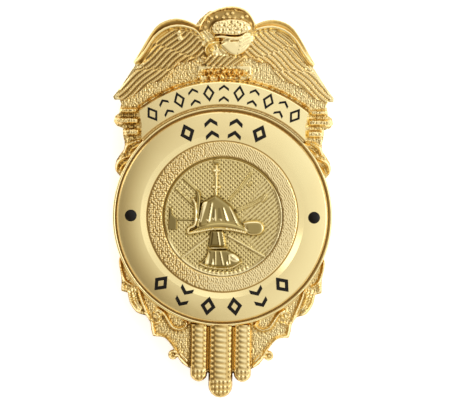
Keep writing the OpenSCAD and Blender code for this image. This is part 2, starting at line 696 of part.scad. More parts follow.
SPIRE = [[-0.115, 0.34, 0.036, 0.7], [-0.115, 0.86, 0.036, 0.6]];
BELL_NECK = [[-0.07, -0.27, 0.13, 0.6], [-0.07, -0.48, 0.14, 0.65]];
BELL_COLLAR = [[-0.25, -0.515, 0.03, 0.8], [0.1, -0.515, 0.03, 0.8]];
BELL = [[-0.07, -0.55, 0.16, 0.7], [-0.055, -0.66, 0.22, 0.75], [-0.04, -0.76, 0.32, 0.8],
    [-0.035, -0.81, 0.345, 0.6]];
BELL_LIP = [[-0.38, -0.77, 0.02, 0.5], [-0.22, -0.835, 0.03, 0.8], [-0.02, -0.862, 0.032, 0.85],
    [0.18, -0.84, 0.03, 0.8], [0.33, -0.765, 0.02, 0.5]];
POLE = [[-0.59, -0.69, 0.022, 0.35], [0.47, 0.71, 0.022, 0.35]];
POLE_HOOK = [[0.47, 0.7, 0.03, 0.4], [0.54, 0.78, 0.035, 0.45], [0.6, 0.74, 0.03, 0.4],
    [0.58, 0.67, 0.02, 0.3]];
NOZZLE = [[0.2, 0.09, 0.045, 0.4], [0.4, 0.19, 0.04, 0.42], [0.55, 0.235, 0.05, 0.45],
    [0.7, 0.32, 0.065, 0.5]];
RAILS = [[[-0.83, 0.5], [0.36, -0.62]], [[-0.68, 0.64], [0.68, -0.52]]];
AXE = [[-0.9, -0.23], [-0.76, -0.23], [-0.76, -0.03], [-0.82, 0.03], [-0.845, 0.05], [-0.845, 0.15],
    [-0.9, 0.15]];
AXE_HANDLE = [[-0.77, -0.06, 0.02, 0.35], [-0.49, -0.06, 0.02, 0.35]];

// Ladder behind the helmet, from the upper left to the lower right
module ladder() {
    for (rail = RAILS) strip(disc_rows([for (p = rail) [p.x, p.y, 0.02, 0.3]]), FLAT);
    for (t = [0.04, 0.13, 0.22, 0.68, 0.77, 0.86])
        strip(disc_rows([for (rail = RAILS) let (p = mix(rail[0], rail[1], t)) [p.x, p.y, 0.016, 0.24]]),
            FLAT);
}

module helmet() {
    strip(disc_rows(CROWN), fluted(8, 0.16));
    for (rows = [BRIM, BRIM_LIP, BRIM_CURL, FRONT_PIECE, FRONT_BADGE]) strip(disc_rows(rows), ROUND);
    translate([0.535 * disc_r, -0.19 * disc_r, -sink]) hull() for (x = [-1, 1], y = [-1, 1])
        translate([x * 0.1 * disc_r, y * 0.055 * disc_r, 0])
            cylinder(r1 = 0.055 * disc_r, r2 = 0.03 * disc_r, h = 0.75 * relief_h + sink, $fn = 8);
}

module spire() {
    strip(disc_rows(SPIRE), ROUND);
    for (p = [[-0.18, 0.49], [-0.05, 0.49], [-0.175, 0.775], [-0.055, 0.775], [-0.175, 0.87], [-0.055, 0.87]])
        translate([p.x * disc_r, p.y * disc_r, 0]) bead(0.033 * disc_r, 0.5 * relief_h);
}

module bell() {
    for (rows = [BELL_NECK, BELL_COLLAR, BELL_LIP]) strip(disc_rows(rows), ROUND);
    strip(disc_rows(BELL), fluted(6, 0.14));
    translate([0.2 * disc_r, -0.68 * disc_r, 0]) mound(0.115 * disc_r, 0.075 * disc_r, 0.95 * relief_h, 10);
}

module axe() {
    translate([0, 0, -sink]) linear_extrude(0.45 * relief_h + sink)
        polygon([for (p = AXE) [p.x * disc_r, p.y * disc_r]]);
    strip(disc_rows(AXE_HANDLE), ROUND);
}

// Beads inside the disc's lower edge
module disc_beads() {
    for (i = [-4 : 4]) translate([0.945 * disc_r * sin(6.2 * i), -0.945 * disc_r * cos(6.2 * i)])
        bead(0.028 * disc_r, 0.25 * relief_h);
}

// Applied centre disc with the fire service's tools
module seal() {
    color(GOLD) translate([0, centre_y, seat_z]) union() {
        cylinder(r = disc_r, h = disc_t, $fn = 72);
        translate([0, 0, disc_t]) {
            ladder();
            for (rows = [POLE, POLE_HOOK, NOZZLE]) strip(disc_rows(rows), ROUND);
            axe();
            spire();
            bell();
            helmet();
            disc_beads();
        }
    }
}

// Pin fastening on the back: strip, hinge foot, catch foot and the pin between them
module pin_clasp() {
    pin_z = 0.35 * (clasp_h - strip_t);
    color(STEEL) translate([0, centre_y + clasp_rise, 0]) {
        translate([-clasp_l / 2, -clasp_w / 2, clasp_h - strip_t]) cube([clasp_l, clasp_w, strip_t]);
        for (side = [-1, 1])
            translate([side * (clasp_l - foot_l) / 2 - foot_l / 2, -clasp_w / 2, 0])
                cube([foot_l, clasp_w, clasp_h]);
        translate([-clasp_l / 2 + foot_l / 2, 0, pin_z]) rotate([0, 90, 0])
            cylinder(d = pin_d, h = clasp_l - foot_l, $fn = 32);
    }
}

body();
eagle();
banner();
legend_ring();
seal();
banner_enamel();
ring_enamel(true);  // ring_enamel_top
ring_enamel(false);  // ring_enamel_bottom
enamel_dot(-1);  // dot_left
enamel_dot(1);  // dot_right
pin_clasp();
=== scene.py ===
"""Dress the struck firefighter badge: relief, gold finishes, enamel, studio and camera."""
import logging
import math
from dataclasses import dataclass
from enum import Enum
from functools import lru_cache
from typing import Any, Callable, Sequence

import bmesh
import bpy
import numpy as np
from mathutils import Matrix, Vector
from mathutils.bvhtree import BVHTree


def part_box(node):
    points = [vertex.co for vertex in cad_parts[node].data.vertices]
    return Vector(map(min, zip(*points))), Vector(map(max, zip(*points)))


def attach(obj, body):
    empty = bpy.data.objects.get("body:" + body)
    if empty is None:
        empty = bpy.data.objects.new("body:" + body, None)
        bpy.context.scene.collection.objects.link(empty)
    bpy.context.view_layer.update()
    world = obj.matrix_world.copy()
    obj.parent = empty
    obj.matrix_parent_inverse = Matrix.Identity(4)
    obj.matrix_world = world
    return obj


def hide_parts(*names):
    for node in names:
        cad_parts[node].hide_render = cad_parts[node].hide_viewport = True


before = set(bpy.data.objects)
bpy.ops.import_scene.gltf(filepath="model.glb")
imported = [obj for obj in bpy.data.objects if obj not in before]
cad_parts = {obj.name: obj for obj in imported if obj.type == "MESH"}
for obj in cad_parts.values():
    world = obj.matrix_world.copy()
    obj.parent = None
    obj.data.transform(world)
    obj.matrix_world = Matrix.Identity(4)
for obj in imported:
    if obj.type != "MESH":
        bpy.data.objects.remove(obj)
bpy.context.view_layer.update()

LOG = logging.getLogger("badge")
MM = 0.001
# edges sharper than this stay crisp
CRISP = math.radians(50.0)
# height above a node's foot at which its outline is read, in millimetres
PROBE = 0.2
Path = Sequence[tuple[float, float]]
Array = np.ndarray


class Side(Enum):
    """The two mirrored halves of the badge."""

    LEFT = -1
    RIGHT = 1


def math_operator(operation: str) -> Callable[["Socket", Any], "Socket"]:
    """Make the method for one of Python's operators, which adds a Math node."""
    return lambda self, other: self._math(operation, other)


class Socket:
    """One output of a shader graph, with Python's operators on its value."""

    def __init__(self, graph: "Graph", out: Any) -> None:
        """Keep the graph and the output socket."""
        self.graph, self.out = graph, out

    def _math(self, operation: str, *others: Any) -> "Socket":
        """Add a Math node."""
        return self.graph.node("ShaderNodeMath", {"operation": operation},
                               {i: v for i, v in enumerate((self, *others))})

    def __rsub__(self, other: Any) -> "Socket":
        """Reflected difference."""
        return self.graph.node("ShaderNodeMath", {"operation": "SUBTRACT"}, {0: other, 1: self})

    __add__ = __radd__ = math_operator("ADD")
    __sub__ = math_operator("SUBTRACT")
    __mul__ = __rmul__ = math_operator("MULTIPLY")
    __truediv__ = math_operator("DIVIDE")

    def clamp(self) -> "Socket":
        """The value held between 0 and 1."""
        return self._math("MINIMUM", 1.0)._math("MAXIMUM", 0.0)


class Graph:
    """Nodes of one material or world."""

    def __init__(self, tree: bpy.types.NodeTree) -> None:
        """Start on an emptied tree."""
        self.tree = tree
        tree.nodes.clear()

    def node(self, kind: str, settings: dict[str, Any] | None = None,
             values: dict[Any, Any] | None = None, out: Any = 0) -> Socket:
        """Add one node.

        Args:
            kind: the node's type.
            settings: its properties; stops holds a ramp's (place, colour) pairs.
            values: numbers, colours or sockets for its inputs, by name or place.
            out: which output to return.

        Returns:
            The chosen output.
        """
        made = self.tree.nodes.new(kind)
        for name, value in (settings or {}).items():
            if name == "stops":
                ramp = made.color_ramp
                while len(ramp.elements) < len(value):
                    ramp.elements.new(0.5)
                for element, (where, colour) in zip(ramp.elements, value):
                    element.position, element.color = where, (*colour, 1.0)
            else:
                setattr(made, name, value)
        for name, value in (values or {}).items():
            if isinstance(value, Socket):
                self.tree.links.new(value.out, made.inputs[name])
            else:
                made.inputs[name].default_value = value
        return Socket(self, made.outputs[out])

    def blend(self, factor: Any, a: Any, b: Any, mode: str = "MIX") -> Socket:
        """Blend two colours.

        Args:
            factor: share of the second colour.
            a: first colour.
            b: second colour.
            mode: the blend mode.

        Returns:
            The blended colour.
        """
        a, b = (c if isinstance(c, Socket) else (*c, 1.0) for c in (a, b))
        return self.node("ShaderNodeMix", {"data_type": "RGBA", "blend_type": mode},
                         {0: factor, 6: a, 7: b}, out=2)

    def object_point(self) -> Socket:
        """Object coordinates."""
        return self.node("ShaderNodeTexCoord", out="Object")

    def noise(self, scale: float, detail: float = 2.0, point: Socket | None = None) -> Socket:
        """Noise of a given scale per metre."""
        return self.node("ShaderNodeTexNoise", {}, {"Vector": point or self.object_point(),
                                                    "Scale": scale, "Detail": detail})

    def attribute(self, name: str) -> Socket:
        """A number kept on the mesh's vertices."""
        return self.node("ShaderNodeAttribute", {"attribute_name": name}, out="Fac")

    def bump(self, height: Socket) -> Socket:
        """A normal from a height in millimetres."""
        return self.node("ShaderNodeBump", {}, {"Height": height, "Strength": 1.0, "Distance": MM})

    def surface(self, values: dict[str, Any]) -> None:
        """Finish a material with one principled surface."""
        self.finish(self.node("ShaderNodeBsdfPrincipled", {}, values), "ShaderNodeOutputMaterial")

    def finish(self, shader: Socket, kind: str) -> None:
        """Join a shader to an output node."""
        self.tree.links.new(shader.out, self.tree.nodes.new(kind).inputs["Surface"])


def new_material(name: str) -> tuple[bpy.types.Material, Graph]:
    """Make an empty material.

    Args:
        name: its name.

    Returns:
        The material and its graph.
    """
    made = bpy.data.materials.new(name)
    made.use_nodes = True
    return made, Graph(made.node_tree)


@dataclass(frozen=True)
class GoldFinish:
    """Polished or satin gold plate.

    Attributes:
        name: the finish's name.
        colour: colour of the plated metal.
        shade: colour of the painted shade in its shallow hollows.
        deep: colour of the painted shade in its deepest hollows.
        roughness: roughness of the high places, rubbed smooth.
        grain: depth of the fine grain in millimetres.
        grain_scale: grains per metre.
        cloud_scale: clouds of the tone per metre.
        hair_scale: wiping marks per metre.
        pit_scale: pits of a struck ground per metre.
        struck: whether the mesh holds hollow, grain and amber attributes: painted shade, grain and
            painted orange reflection.
        lines: painted dark lines of shade round the ring's centre, as (radius, half width,
            strength) in millimetres.
        fall: how steeply the face falls away from the ring's centre.
    """

    name: str
    colour: tuple[float, float, float] = (0.94, 0.79, 0.43)
    shade: tuple[float, float, float] = (0.74, 0.51, 0.18)
    deep: tuple[float, float, float] = (0.19, 0.105, 0.025)
    roughness: float = 0.12
    grain: float = 0.004
    grain_scale: float = 2600.0
    cloud_scale: float = 90.0
    hair_scale: float = 700.0
    pit_scale: float = 3400.0
    struck: bool = False
    lines: tuple[tuple[float, float, float], ...] = ()
    fall: float = 0.0

    def material(self) -> bpy.types.Material:
        """Make the finish.

        Returns:
            The material.
        """
        made, g = new_material(self.name)
        cloud = g.noise(self.cloud_scale, 3.0)
        fine = g.noise(self.grain_scale, 3.0)
        wipe = g.node("ShaderNodeMapping", {},
                      {"Vector": g.object_point(), "Scale": (1.0, 9.0, 1.0)})
        hair = g.noise(self.hair_scale, 2.0, wipe)
        # random clouds of tone; painted shade from the hollows and lines is added below
        dark = (cloud - 0.5) * 0.16 + 0.02
        height = fine * self.grain + hair * (0.3 * self.grain)
        rough = self.roughness + (cloud - 0.5) * 0.06 + (hair - 0.5) * 0.05
        if self.struck:
            hollow = g.attribute("hollow")
            pit = g.node("ShaderNodeTexVoronoi", {"feature": "F1"},
                         {"Vector": g.object_point(), "Scale": self.pit_scale})
            grain = g.attribute("grain")
            amber = g.attribute("amber")
            # painted shade in the hollows
            dark, rough = dark + hollow, rough + grain * 0.06
            height = height + grain * pit * 0.06
        away = self.away(g)
        # painted dark lines of shade round the ring's centre
        for radius, half_width, strength in self.lines:
            off = away - radius
            dark = dark + (1.0 - (off * off) / (half_width * half_width)).clamp() * strength
        if self.fall:
            height = height - away * self.fall
        tone = g.node("ShaderNodeValToRGB", {"stops": (
            (0.0, self.colour), (0.45, self.shade), (1.0, self.deep))},
            {0: dark.clamp()})
        # painted orange reflection where the amber attribute is set
        if self.struck:
            tone = g.blend(amber.clamp(), tone, (1.0, 0.8, 0.4), "MULTIPLY")
        g.surface({"Base Color": tone, "Metallic": 1.0, "Roughness": rough.clamp(),
                   "Normal": g.bump(height)})
        return made

    @staticmethod
    def away(g: Graph) -> Socket:
        """Measure how far a point lies from the ring's centre.

        Args:
            g: the graph.

        Returns:
            The distance in millimetres.
        """
        shifted = g.node("ShaderNodeVectorMath", {"operation": "SUBTRACT"},
                         {0: g.object_point(), 1: tuple(ring_centre())})
        flat = g.node("ShaderNodeVectorMath", {"operation": "MULTIPLY"},
                      {0: shifted, 1: (1 / MM, 1 / MM, 0)})
        return g.node("ShaderNodeVectorMath", {"operation": "LENGTH"}, {0: flat}, out="Value")


@dataclass(frozen=True)
class EnamelFinish:
    """Black fired enamel.

    Attributes:
        name: the finish's name.
        colour: its colour.
        haze: the paler colour in its clouds.
        roughness: its mean roughness.
        cloud_scale: its clouds per metre.
    """

    name: str
    colour: tuple[float, float, float] = (0.004, 0.0032, 0.0025)
    haze: tuple[float, float, float] = (0.009, 0.007, 0.005)
    roughness: float = 0.3
    cloud_scale: float = 600.0

    def material(self) -> bpy.types.Material:
        """Make the finish.

        Returns:
            The material.
        """
        made, g = new_material(self.name)
        cloud = g.noise(self.cloud_scale, 3.0)
        g.surface({"Base Color": g.blend(cloud, self.colour, self.haze),
                   "Roughness": self.roughness + (cloud - 0.5) * 0.12, "Specular IOR Level": 0.22,
                   "Normal": g.bump(cloud * 0.02)})
        return made


@lru_cache(maxsize=None)
def corners(node: str) -> tuple[Vector, Vector]:
    """Low and high corner of a node's box, in metres."""
    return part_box(node)


@lru_cache(maxsize=None)
def ring_centre() -> Vector:
    """Middle of the ring, in metres."""
    low, high = corners("legend_ring")
    return (low + high) / 2


def place(x: float, y: float, z: float) -> Vector:
    """A place in metres, from millimetres across and up from the ring's centre and above zero."""
    centre = ring_centre()
    return Vector((x * MM + centre.x, y * MM + centre.y, z * MM))


def ease(t: Array) -> Array:
    """Ease from 0 to 1."""
    t = np.clip(t, 0.0, 1.0)
    return t * t * (3 - 2 * t)


def bell(t: Array) -> Array:
    """Bell curve: 1 in the middle."""
    return np.exp(-t ** 2)


def from_whole(t: Array) -> Array:
    """Distance from the nearest whole number, below zero before it."""
    return t - np.round(t)


def arch(t: Array) -> Array:
    """Round arch: 1 in the middle, 0 at 1."""
    return np.sqrt(np.clip(1 - t ** 2, 0, 1))


def pebbles(x: Array, y: Array, pitch: float, seed: float = 0.0) -> Array:
    """Rounded pebbles that fill a ground.

    Args:
        x: places across, in millimetres.
        y: places up, in millimetres.
        pitch: spacing of the pebbles.
        seed: another number gives other pebbles.

    Returns:
        1 at a pebble's top and 0 between two.
    """
    u, v = x / pitch, y / pitch
    nearest = np.full(np.shape(u), 9.0)
    for i in (-1, 0, 1):
        for j in (-1, 0, 1):
            a, b = np.floor(u) + i, np.floor(v) + j
            h = np.sin(a * 127.1 + b * 311.7 + seed) * 43758.5453
            k = np.sin(a * 269.5 + b * 183.3 + seed) * 43758.5453
            nearest = np.minimum(nearest, np.hypot(a + 0.2 + 0.6 * (h - np.floor(h)) - u,
                                                   b + 0.2 + 0.6 * (k - np.floor(k)) - v))
    return 1 - ease(nearest / 0.75)


@dataclass
class Relief:
    """Height field over one struck node, in millimetres from the ring's centre.

    Attributes:
        node: the CAD node whose form it takes.
        pitch: spacing of its points.
        soften: radius over which the form is softened.
        depth_tone: how dark the deepest hollows turn.
        plate: thickness of the plate under its relief.
        flank: width of the slope at a rounded form's foot.
        bar_flank: the same at a bar's foot.
        reach: radius over which a hollow is told.
        deep: depth of a hollow that gets the darkest painted shade.
    """

    node: str
    pitch: float
    soften: float
    depth_tone: float
    plate: float
    flank: float = 0.22
    bar_flank: float = 0.2
    reach: float = 0.45
    deep: float = 0.35

    def __post_init__(self) -> None:
        """Read the node's form from above."""
        centre = ring_centre()
        low, high = corners(self.node)
        size = (high - low) / MM
        self.cells_x = math.ceil(size.x / self.pitch) + 2
        self.cells_y = math.ceil(size.y / self.pitch) + 2
        x0 = (low.x + high.x) / 2 / MM - centre.x / MM - self.cells_x * self.pitch / 2
        y0 = (low.y + high.y) / 2 / MM - centre.y / MM - self.cells_y * self.pitch / 2
        self.x, self.y = np.meshgrid(x0 + self.pitch * np.arange(self.cells_x + 1),
                                     y0 + self.pitch * np.arange(self.cells_y + 1))
        self.base, self.top = low.z / MM, high.z / MM
        self.floor = self.base + self.plate
        heights, self.inside = self.drop_on(self.node)
        self.height = self.spread(heights, self.soften)
        # stain holds painted shade and amber a painted orange reflection; grain is real
        self.grain, self.painted_shade, self.amber = (np.zeros_like(self.x) for _ in range(3))

    def drop_on(self, node: str) -> tuple[Array, Array]:
        """Drop a ray on a node at every point.

        Args:
            node: the node's name.

        Returns:
            The heights, and where the rays hit.
        """
        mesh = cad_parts[node].data
        tree = BVHTree.FromPolygons([v.co for v in mesh.vertices],
                                    [tuple(p.vertices) for p in mesh.polygons])
        start, down = corners(node)[1].z / MM + 1.0, Vector((0, 0, -1))
        found = np.full(self.x.shape, np.nan)
        flat = found.reshape(-1)
        for i, (x, y) in enumerate(zip(self.x.flat, self.y.flat)):
            hit = tree.ray_cast(place(x, y, start), down)[0]
            if hit is not None:
                flat[i] = hit.z / MM
        return found, ~np.isnan(found)

    def blur(self, values: Array, radius: float) -> Array:
        """Soften values with a round brush.

        Args:
            values: the values.
            radius: the brush's radius.

        Returns:
            The softened values.
        """
        reach = max(1, math.ceil(2.5 * radius / self.pitch))
        taps = np.exp(-0.5 * (np.arange(-reach, reach + 1) * self.pitch / radius) ** 2)
        taps /= taps.sum()
        for axis in (0, 1):
            pad = [(reach, reach) if a == axis else (0, 0) for a in (0, 1)]
            wide = np.pad(values, pad, mode="edge")
            n = values.shape[axis]
            values = sum(t * np.take(wide, range(k, k + n), axis=axis) for k, t in enumerate(taps))
        return values

    def spread(self, values: Array, radius: float) -> Array:
        """Soften values known only on the node, and carry them a little past its edge.

        Args:
            values: the values.
            radius: the brush's radius.

        Returns:
            The softened values.
        """
        known = (~np.isnan(values)).astype(float)
        filled = np.nan_to_num(values) * known
        near, wide = self.blur(known, radius), self.blur(known, 3 * self.pitch)
        soft = self.blur(filled, radius) / np.maximum(near, 1e-6)
        far = self.blur(filled, 3 * self.pitch) / np.maximum(wide, 1e-9)
        return np.where(near > 0.02, soft, far)

    def along(self, path: Path) -> Array:
        """Measure how far every point lies from a path.

        Args:
            path: its points.

        Returns:
            The distances.
        """
        best = np.full(self.x.shape, 1e9)
        for (ax, ay), (bx, by) in zip(path, path[1:]):
            dx, dy = bx - ax, by - ay
            span = math.hypot(dx, dy) or 1e-9
            t = np.clip(((self.x - ax) * dx + (self.y - ay) * dy) / span ** 2, 0, 1)
            best = np.minimum(best, np.hypot(self.x - ax - t * dx, self.y - ay - t * dy))
        return best

    def inward(self, outline: Path) -> Array:
        """Measure how far every point lies inside a closed outline.

        Args:
            outline: its corners.

        Returns:
            The distances, below zero outside it.
        """
        closed = [*outline, outline[0]]
        inside = np.zeros(self.x.shape, bool)
        for (ax, ay), (bx, by) in zip(closed, closed[1:]):
            if ay != by:
                inside ^= ((ay > self.y) != (by > self.y)) & (
                    self.x < ax + (self.y - ay) * (bx - ax) / (by - ay))
        away = self.along(closed)
        return np.where(inside, away, -away)

    def raise_to(self, level: Array, share: Array, painted_shade: float) -> None:
        """Put a form and its painted shade over what is there, where its share is above zero."""
        self.height += share * (np.maximum(level, self.height) - self.height)
        self.painted_shade += share * (painted_shade - self.painted_shade)

    def puff(self, outline: Path, rise: float, shoulder: float, painted_shade: float = 0.0,
             floor: float | None = None) -> Array:
        """Raise a rounded form inside an outline.

        Args:
            outline: its corners.
            rise: height of the form over the ground.
            shoulder: width over which its side rounds off.
            painted_shade: how much shade is painted on it.
            floor: height of the ground, where it isn't the plate's.

        Returns:
            Where it lies, from 0 to 1.
        """
        inner = self.inward(outline)
        share = ease(inner / self.flank + 0.5)
        round_up = arch(1 - np.clip(inner / shoulder, 0, 1))
        self.raise_to((self.floor if floor is None else floor) + rise * round_up, share, painted_shade)
        return share

    def bar(self, path: Path, half_width: float, rise: float, painted_shade: float = 0.0,
            floor: float | Array | None = None) -> None:
        """Raise a round bar along a path.

        Args:
            path: its middle line.
            half_width: half its width.
            rise: its height over the ground.
            painted_shade: how much shade is painted on it.
            floor: height of the ground, where it isn't the plate's.
        """
        away = self.along(path)
        share = ease((half_width - away) / self.bar_flank + 0.5)
        level = (self.floor if floor is None else floor) + rise * arch(away / half_width)
        self.raise_to(level, share, painted_shade)

    def bead(self, x: float, y: float, radius: float, rise: float) -> None:
        """Raise a round bead, or sink a dimple."""
        d2 = (self.x - x) ** 2 + (self.y - y) ** 2
        self.height += rise * np.exp(-2.0 * d2 / radius ** 2)

    def oval(self, x: float, y: float, rx: float, ry: float) -> Array:
        """Share of a soft oval, from its middle and its half sizes."""
        return ease((1 - ((self.x - x) / rx) ** 2 - ((self.y - y) / ry) ** 2) / 0.35)

    def calm(self, share: Array, radius: float) -> None:
        """Smooth the form with a brush of this radius, as far as the share goes."""
        self.height += share * (self.blur(self.height, radius) - self.height)

    def darken(self, painted_shade: Array) -> None:
        """Paint shade: make every point at least this dark."""
        self.painted_shade = np.maximum(self.painted_shade, painted_shade)

    def texture(self, mask: Array, pitch: float, rise: float, painted_shade: float) -> None:
        """Strike pebbles into a ground, with painted shade between them.

        Args:
            mask: where, from 0 to 1.
            pitch: their spacing.
            rise: their height.
            painted_shade: how much shade is painted between them.
        """
        form = pebbles(self.x, self.y, pitch, 3.0)
        self.height += mask * rise * (form - 0.6)
        self.darken(mask * painted_shade * (1 - form))

    def panel_wall(self, rise: float) -> None:
        """Turn the ground up against the panel's upper edge, in painted patches of dark, bright and
        orange reflection.

        Args:
            rise: how far it turns up.
        """
        x, y = self.x, self.y
        over = np.hypot(x, y) - (corners("banner")[1].y - ring_centre().y) / MM
        wall = ease((over + 0.1) / 0.1) * ease((0.85 - over) / 0.25)
        wall *= ease((y - 20.0) / 0.5) * ease((17.5 - np.abs(x)) / 0.5)
        arc = 27.5 * np.arctan2(x, y)
        patch = ease((np.sin(3.4 * arc + 1.5 * np.sin(0.9 * arc)) - 0.3) / 0.5)
        self.height += wall * rise * ease(1 - over / 0.8)
        # painted reflection: dark and bright patches and an orange tint on the turned-up wall
        self.painted_shade += wall * (1.2 * patch - 0.7 - self.painted_shade)
        self.amber += wall * (0.38 + 0.4 * patch - self.amber)
        self.grain *= 1 - wall

    def settle(self, lip: float = 0.1, right_light: float = 0.0) -> None:
        """Roll the outer edge off, keep under the node's top and paint shade in the hollows.

        Args:
            lip: how far the outer edge rolls down.
            right_light: how much of the painted shade is lifted towards the right, the lit side.
        """
        edge = ease((self.blur(self.inside.astype(float), 0.2) - 0.45) / 0.5)
        self.height = np.minimum(self.height - lip * (1 - edge) ** 2, self.top)
        lower = self.blur(self.height, self.reach) - self.height
        # painted shade, lifted towards the right, where the light falls
        left = 1 - right_light * ease((self.x + 3.0) / 13.0)
        self.hollow = np.clip((ease(lower / self.deep) * self.depth_tone + self.painted_shade) * left, 0, 1)

    def solid(self, name: str, covers: Sequence[str] = ()) -> bpy.types.Object:
        """Make the closed mesh.

        Args:
            name: the piece's name.
            covers: nodes that lie on this one and hide what is under them.

        Returns:
            The piece.
        """
        wall = self.wall_tree()
        bm = bmesh.new()
        bmesh.ops.create_grid(bm, x_segments=self.cells_x, y_segments=self.cells_y, size=1.0)
        tones = {"hollow": self.hollow, "grain": self.grain, "amber": self.amber}
        layers = {k: bm.verts.layers.float.new(k) for k in tones}
        keep, at = self.inside, {}
        for v in bm.verts:
            i = round((v.co.x + 1) / 2 * self.cells_x)
            j = round((v.co.y + 1) / 2 * self.cells_y)
            at[v] = (j, i)
            for tone, layer in layers.items():
                v[layer] = tones[tone][j, i]
            v.co = place(self.x[j, i], self.y[j, i], self.height[j, i])
        bmesh.ops.delete(bm, geom=[f for f in bm.faces if sum(keep[at[v]] for v in f.verts) < 3],
                         context="FACES")
        rim = [e for e in bm.edges if e.is_boundary]
        for v in {v for e in rim for v in e.verts}:
            near = wall.find_nearest(Vector((v.co.x, v.co.y, (self.base + PROBE) * MM)))[0]
            v.co.x, v.co.y = near.x, near.y
        foot = pull_down(bm, rim, self.base * MM)
        bmesh.ops.edgenet_fill(bm, edges=foot)
        if covers:
            self.flatten_under(bm, at, covers)
        bmesh.ops.triangulate(bm, faces=[f for f in bm.faces if len(f.verts) > 4])
        bmesh.ops.recalc_face_normals(bm, faces=bm.faces[:])
        return finish_mesh(bm, name)

    def edge_distance(self) -> Array:
        """Measure how far the node's outline is from every point inside.

        Returns:
            The distances.
        """
        wall = self.wall_tree()
        found = np.zeros_like(self.x)
        for j, i in np.argwhere(self.inside):
            spot = place(self.x[j, i], self.y[j, i], self.base + PROBE)
            found[j, i] = wall.find_nearest(spot)[3] / MM
        return found

    def wall_tree(self) -> BVHTree:
        """Gather the upright faces round the node's outline, to snap an edge to.

        Returns:
            Their search tree.
        """
        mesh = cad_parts[self.node].data
        places = [v.co for v in mesh.vertices]
        low = self.base * MM + 1e-4
        faces = [tuple(p.vertices) for p in mesh.polygons
                 if abs(p.normal.z) < 0.2 and min(places[i].z for i in p.vertices) < low]
        return BVHTree.FromPolygons(places, faces)

    def flatten_under(self, bm: bmesh.types.BMesh, at: dict, covers: Sequence[str]) -> None:
        """Replace the hidden ground under other nodes by flat faces.

        Args:
            bm: the bmesh.
            at: row and column of each of the relief's points.
            covers: the other nodes.
        """
        hidden = np.zeros(self.x.shape, bool)
        for node in covers:
            hidden |= self.drop_on(node)[1]
        hidden = self.blur(hidden.astype(float), 0.35) > 0.995
        gone = [f for f in bm.faces if all(v in at and hidden[at[v]] for v in f.verts)]
        inner = set(gone)
        border = {e for f in gone for e in f.edges if any(o not in inner for o in e.link_faces)}
        bmesh.ops.delete(bm, geom=gone, context="FACES")
        bmesh.ops.edgenet_fill(bm, edges=[e for e in border if e.is_valid])


def add_object(name: str, data: Any) -> bpy.types.Object:
    """Put an object into the scene.

    Args:
        name: its name.
        data: its mesh, lamp or camera.

    Returns:
        The object.
    """
    made = bpy.data.objects.new(name, data)
    bpy.context.scene.collection.objects.link(made)
    return made


def pull_down(bm: bmesh.types.BMesh, rim: list, z: float) -> list:
    """Pull a skirt down from edges.

    Args:
        bm: the bmesh.
        rim: the edges.
        z: height of the skirt's foot, in metres.

    Returns:
        The edges of its foot.
    """
    skirt = bmesh.ops.extrude_edge_only(bm, edges=rim)["geom"]
    for v in (g for g in skirt if isinstance(g, bmesh.types.BMVert)):
        v.co.z = z
    return [g for g in skirt if isinstance(g, bmesh.types.BMEdge)
            and all(abs(v.co.z - z) < 1e-9 for v in g.verts)]


def finish_mesh(bm: bmesh.types.BMesh, name: str) -> bpy.types.Object:
    """Turn a bmesh into a smooth shaded object with crisp edges.

    Args:
        bm: the bmesh, which is freed.
        name: the object's name.

    Returns:
        The object.
    """
    mesh = bpy.data.meshes.new(name)
    bm.to_mesh(mesh)
    bm.free()
    mesh.polygons.foreach_set("use_smooth", [True] * len(mesh.polygons))
    mesh.set_sharp_from_angle(angle=CRISP)
    return add_object(name, mesh)


def settle_piece(piece: bpy.types.Object, material: bpy.types.Material, slot: str,
                 *nodes: str) -> None:
    """Dress a piece and tie it to the frame.

    Args:
        piece: the object.
        material: its material.
        slot: the record's material slot; not used.
        nodes: the nodes that it replaces.
    """
    piece.data.materials.clear()
    piece.data.materials.append(material)
    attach(piece, "root")
    if nodes:
        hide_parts(*nodes)
    LOG.info("%s: %d triangles", piece.name, sum(len(p.vertices) - 2 for p in piece.data.polygons))


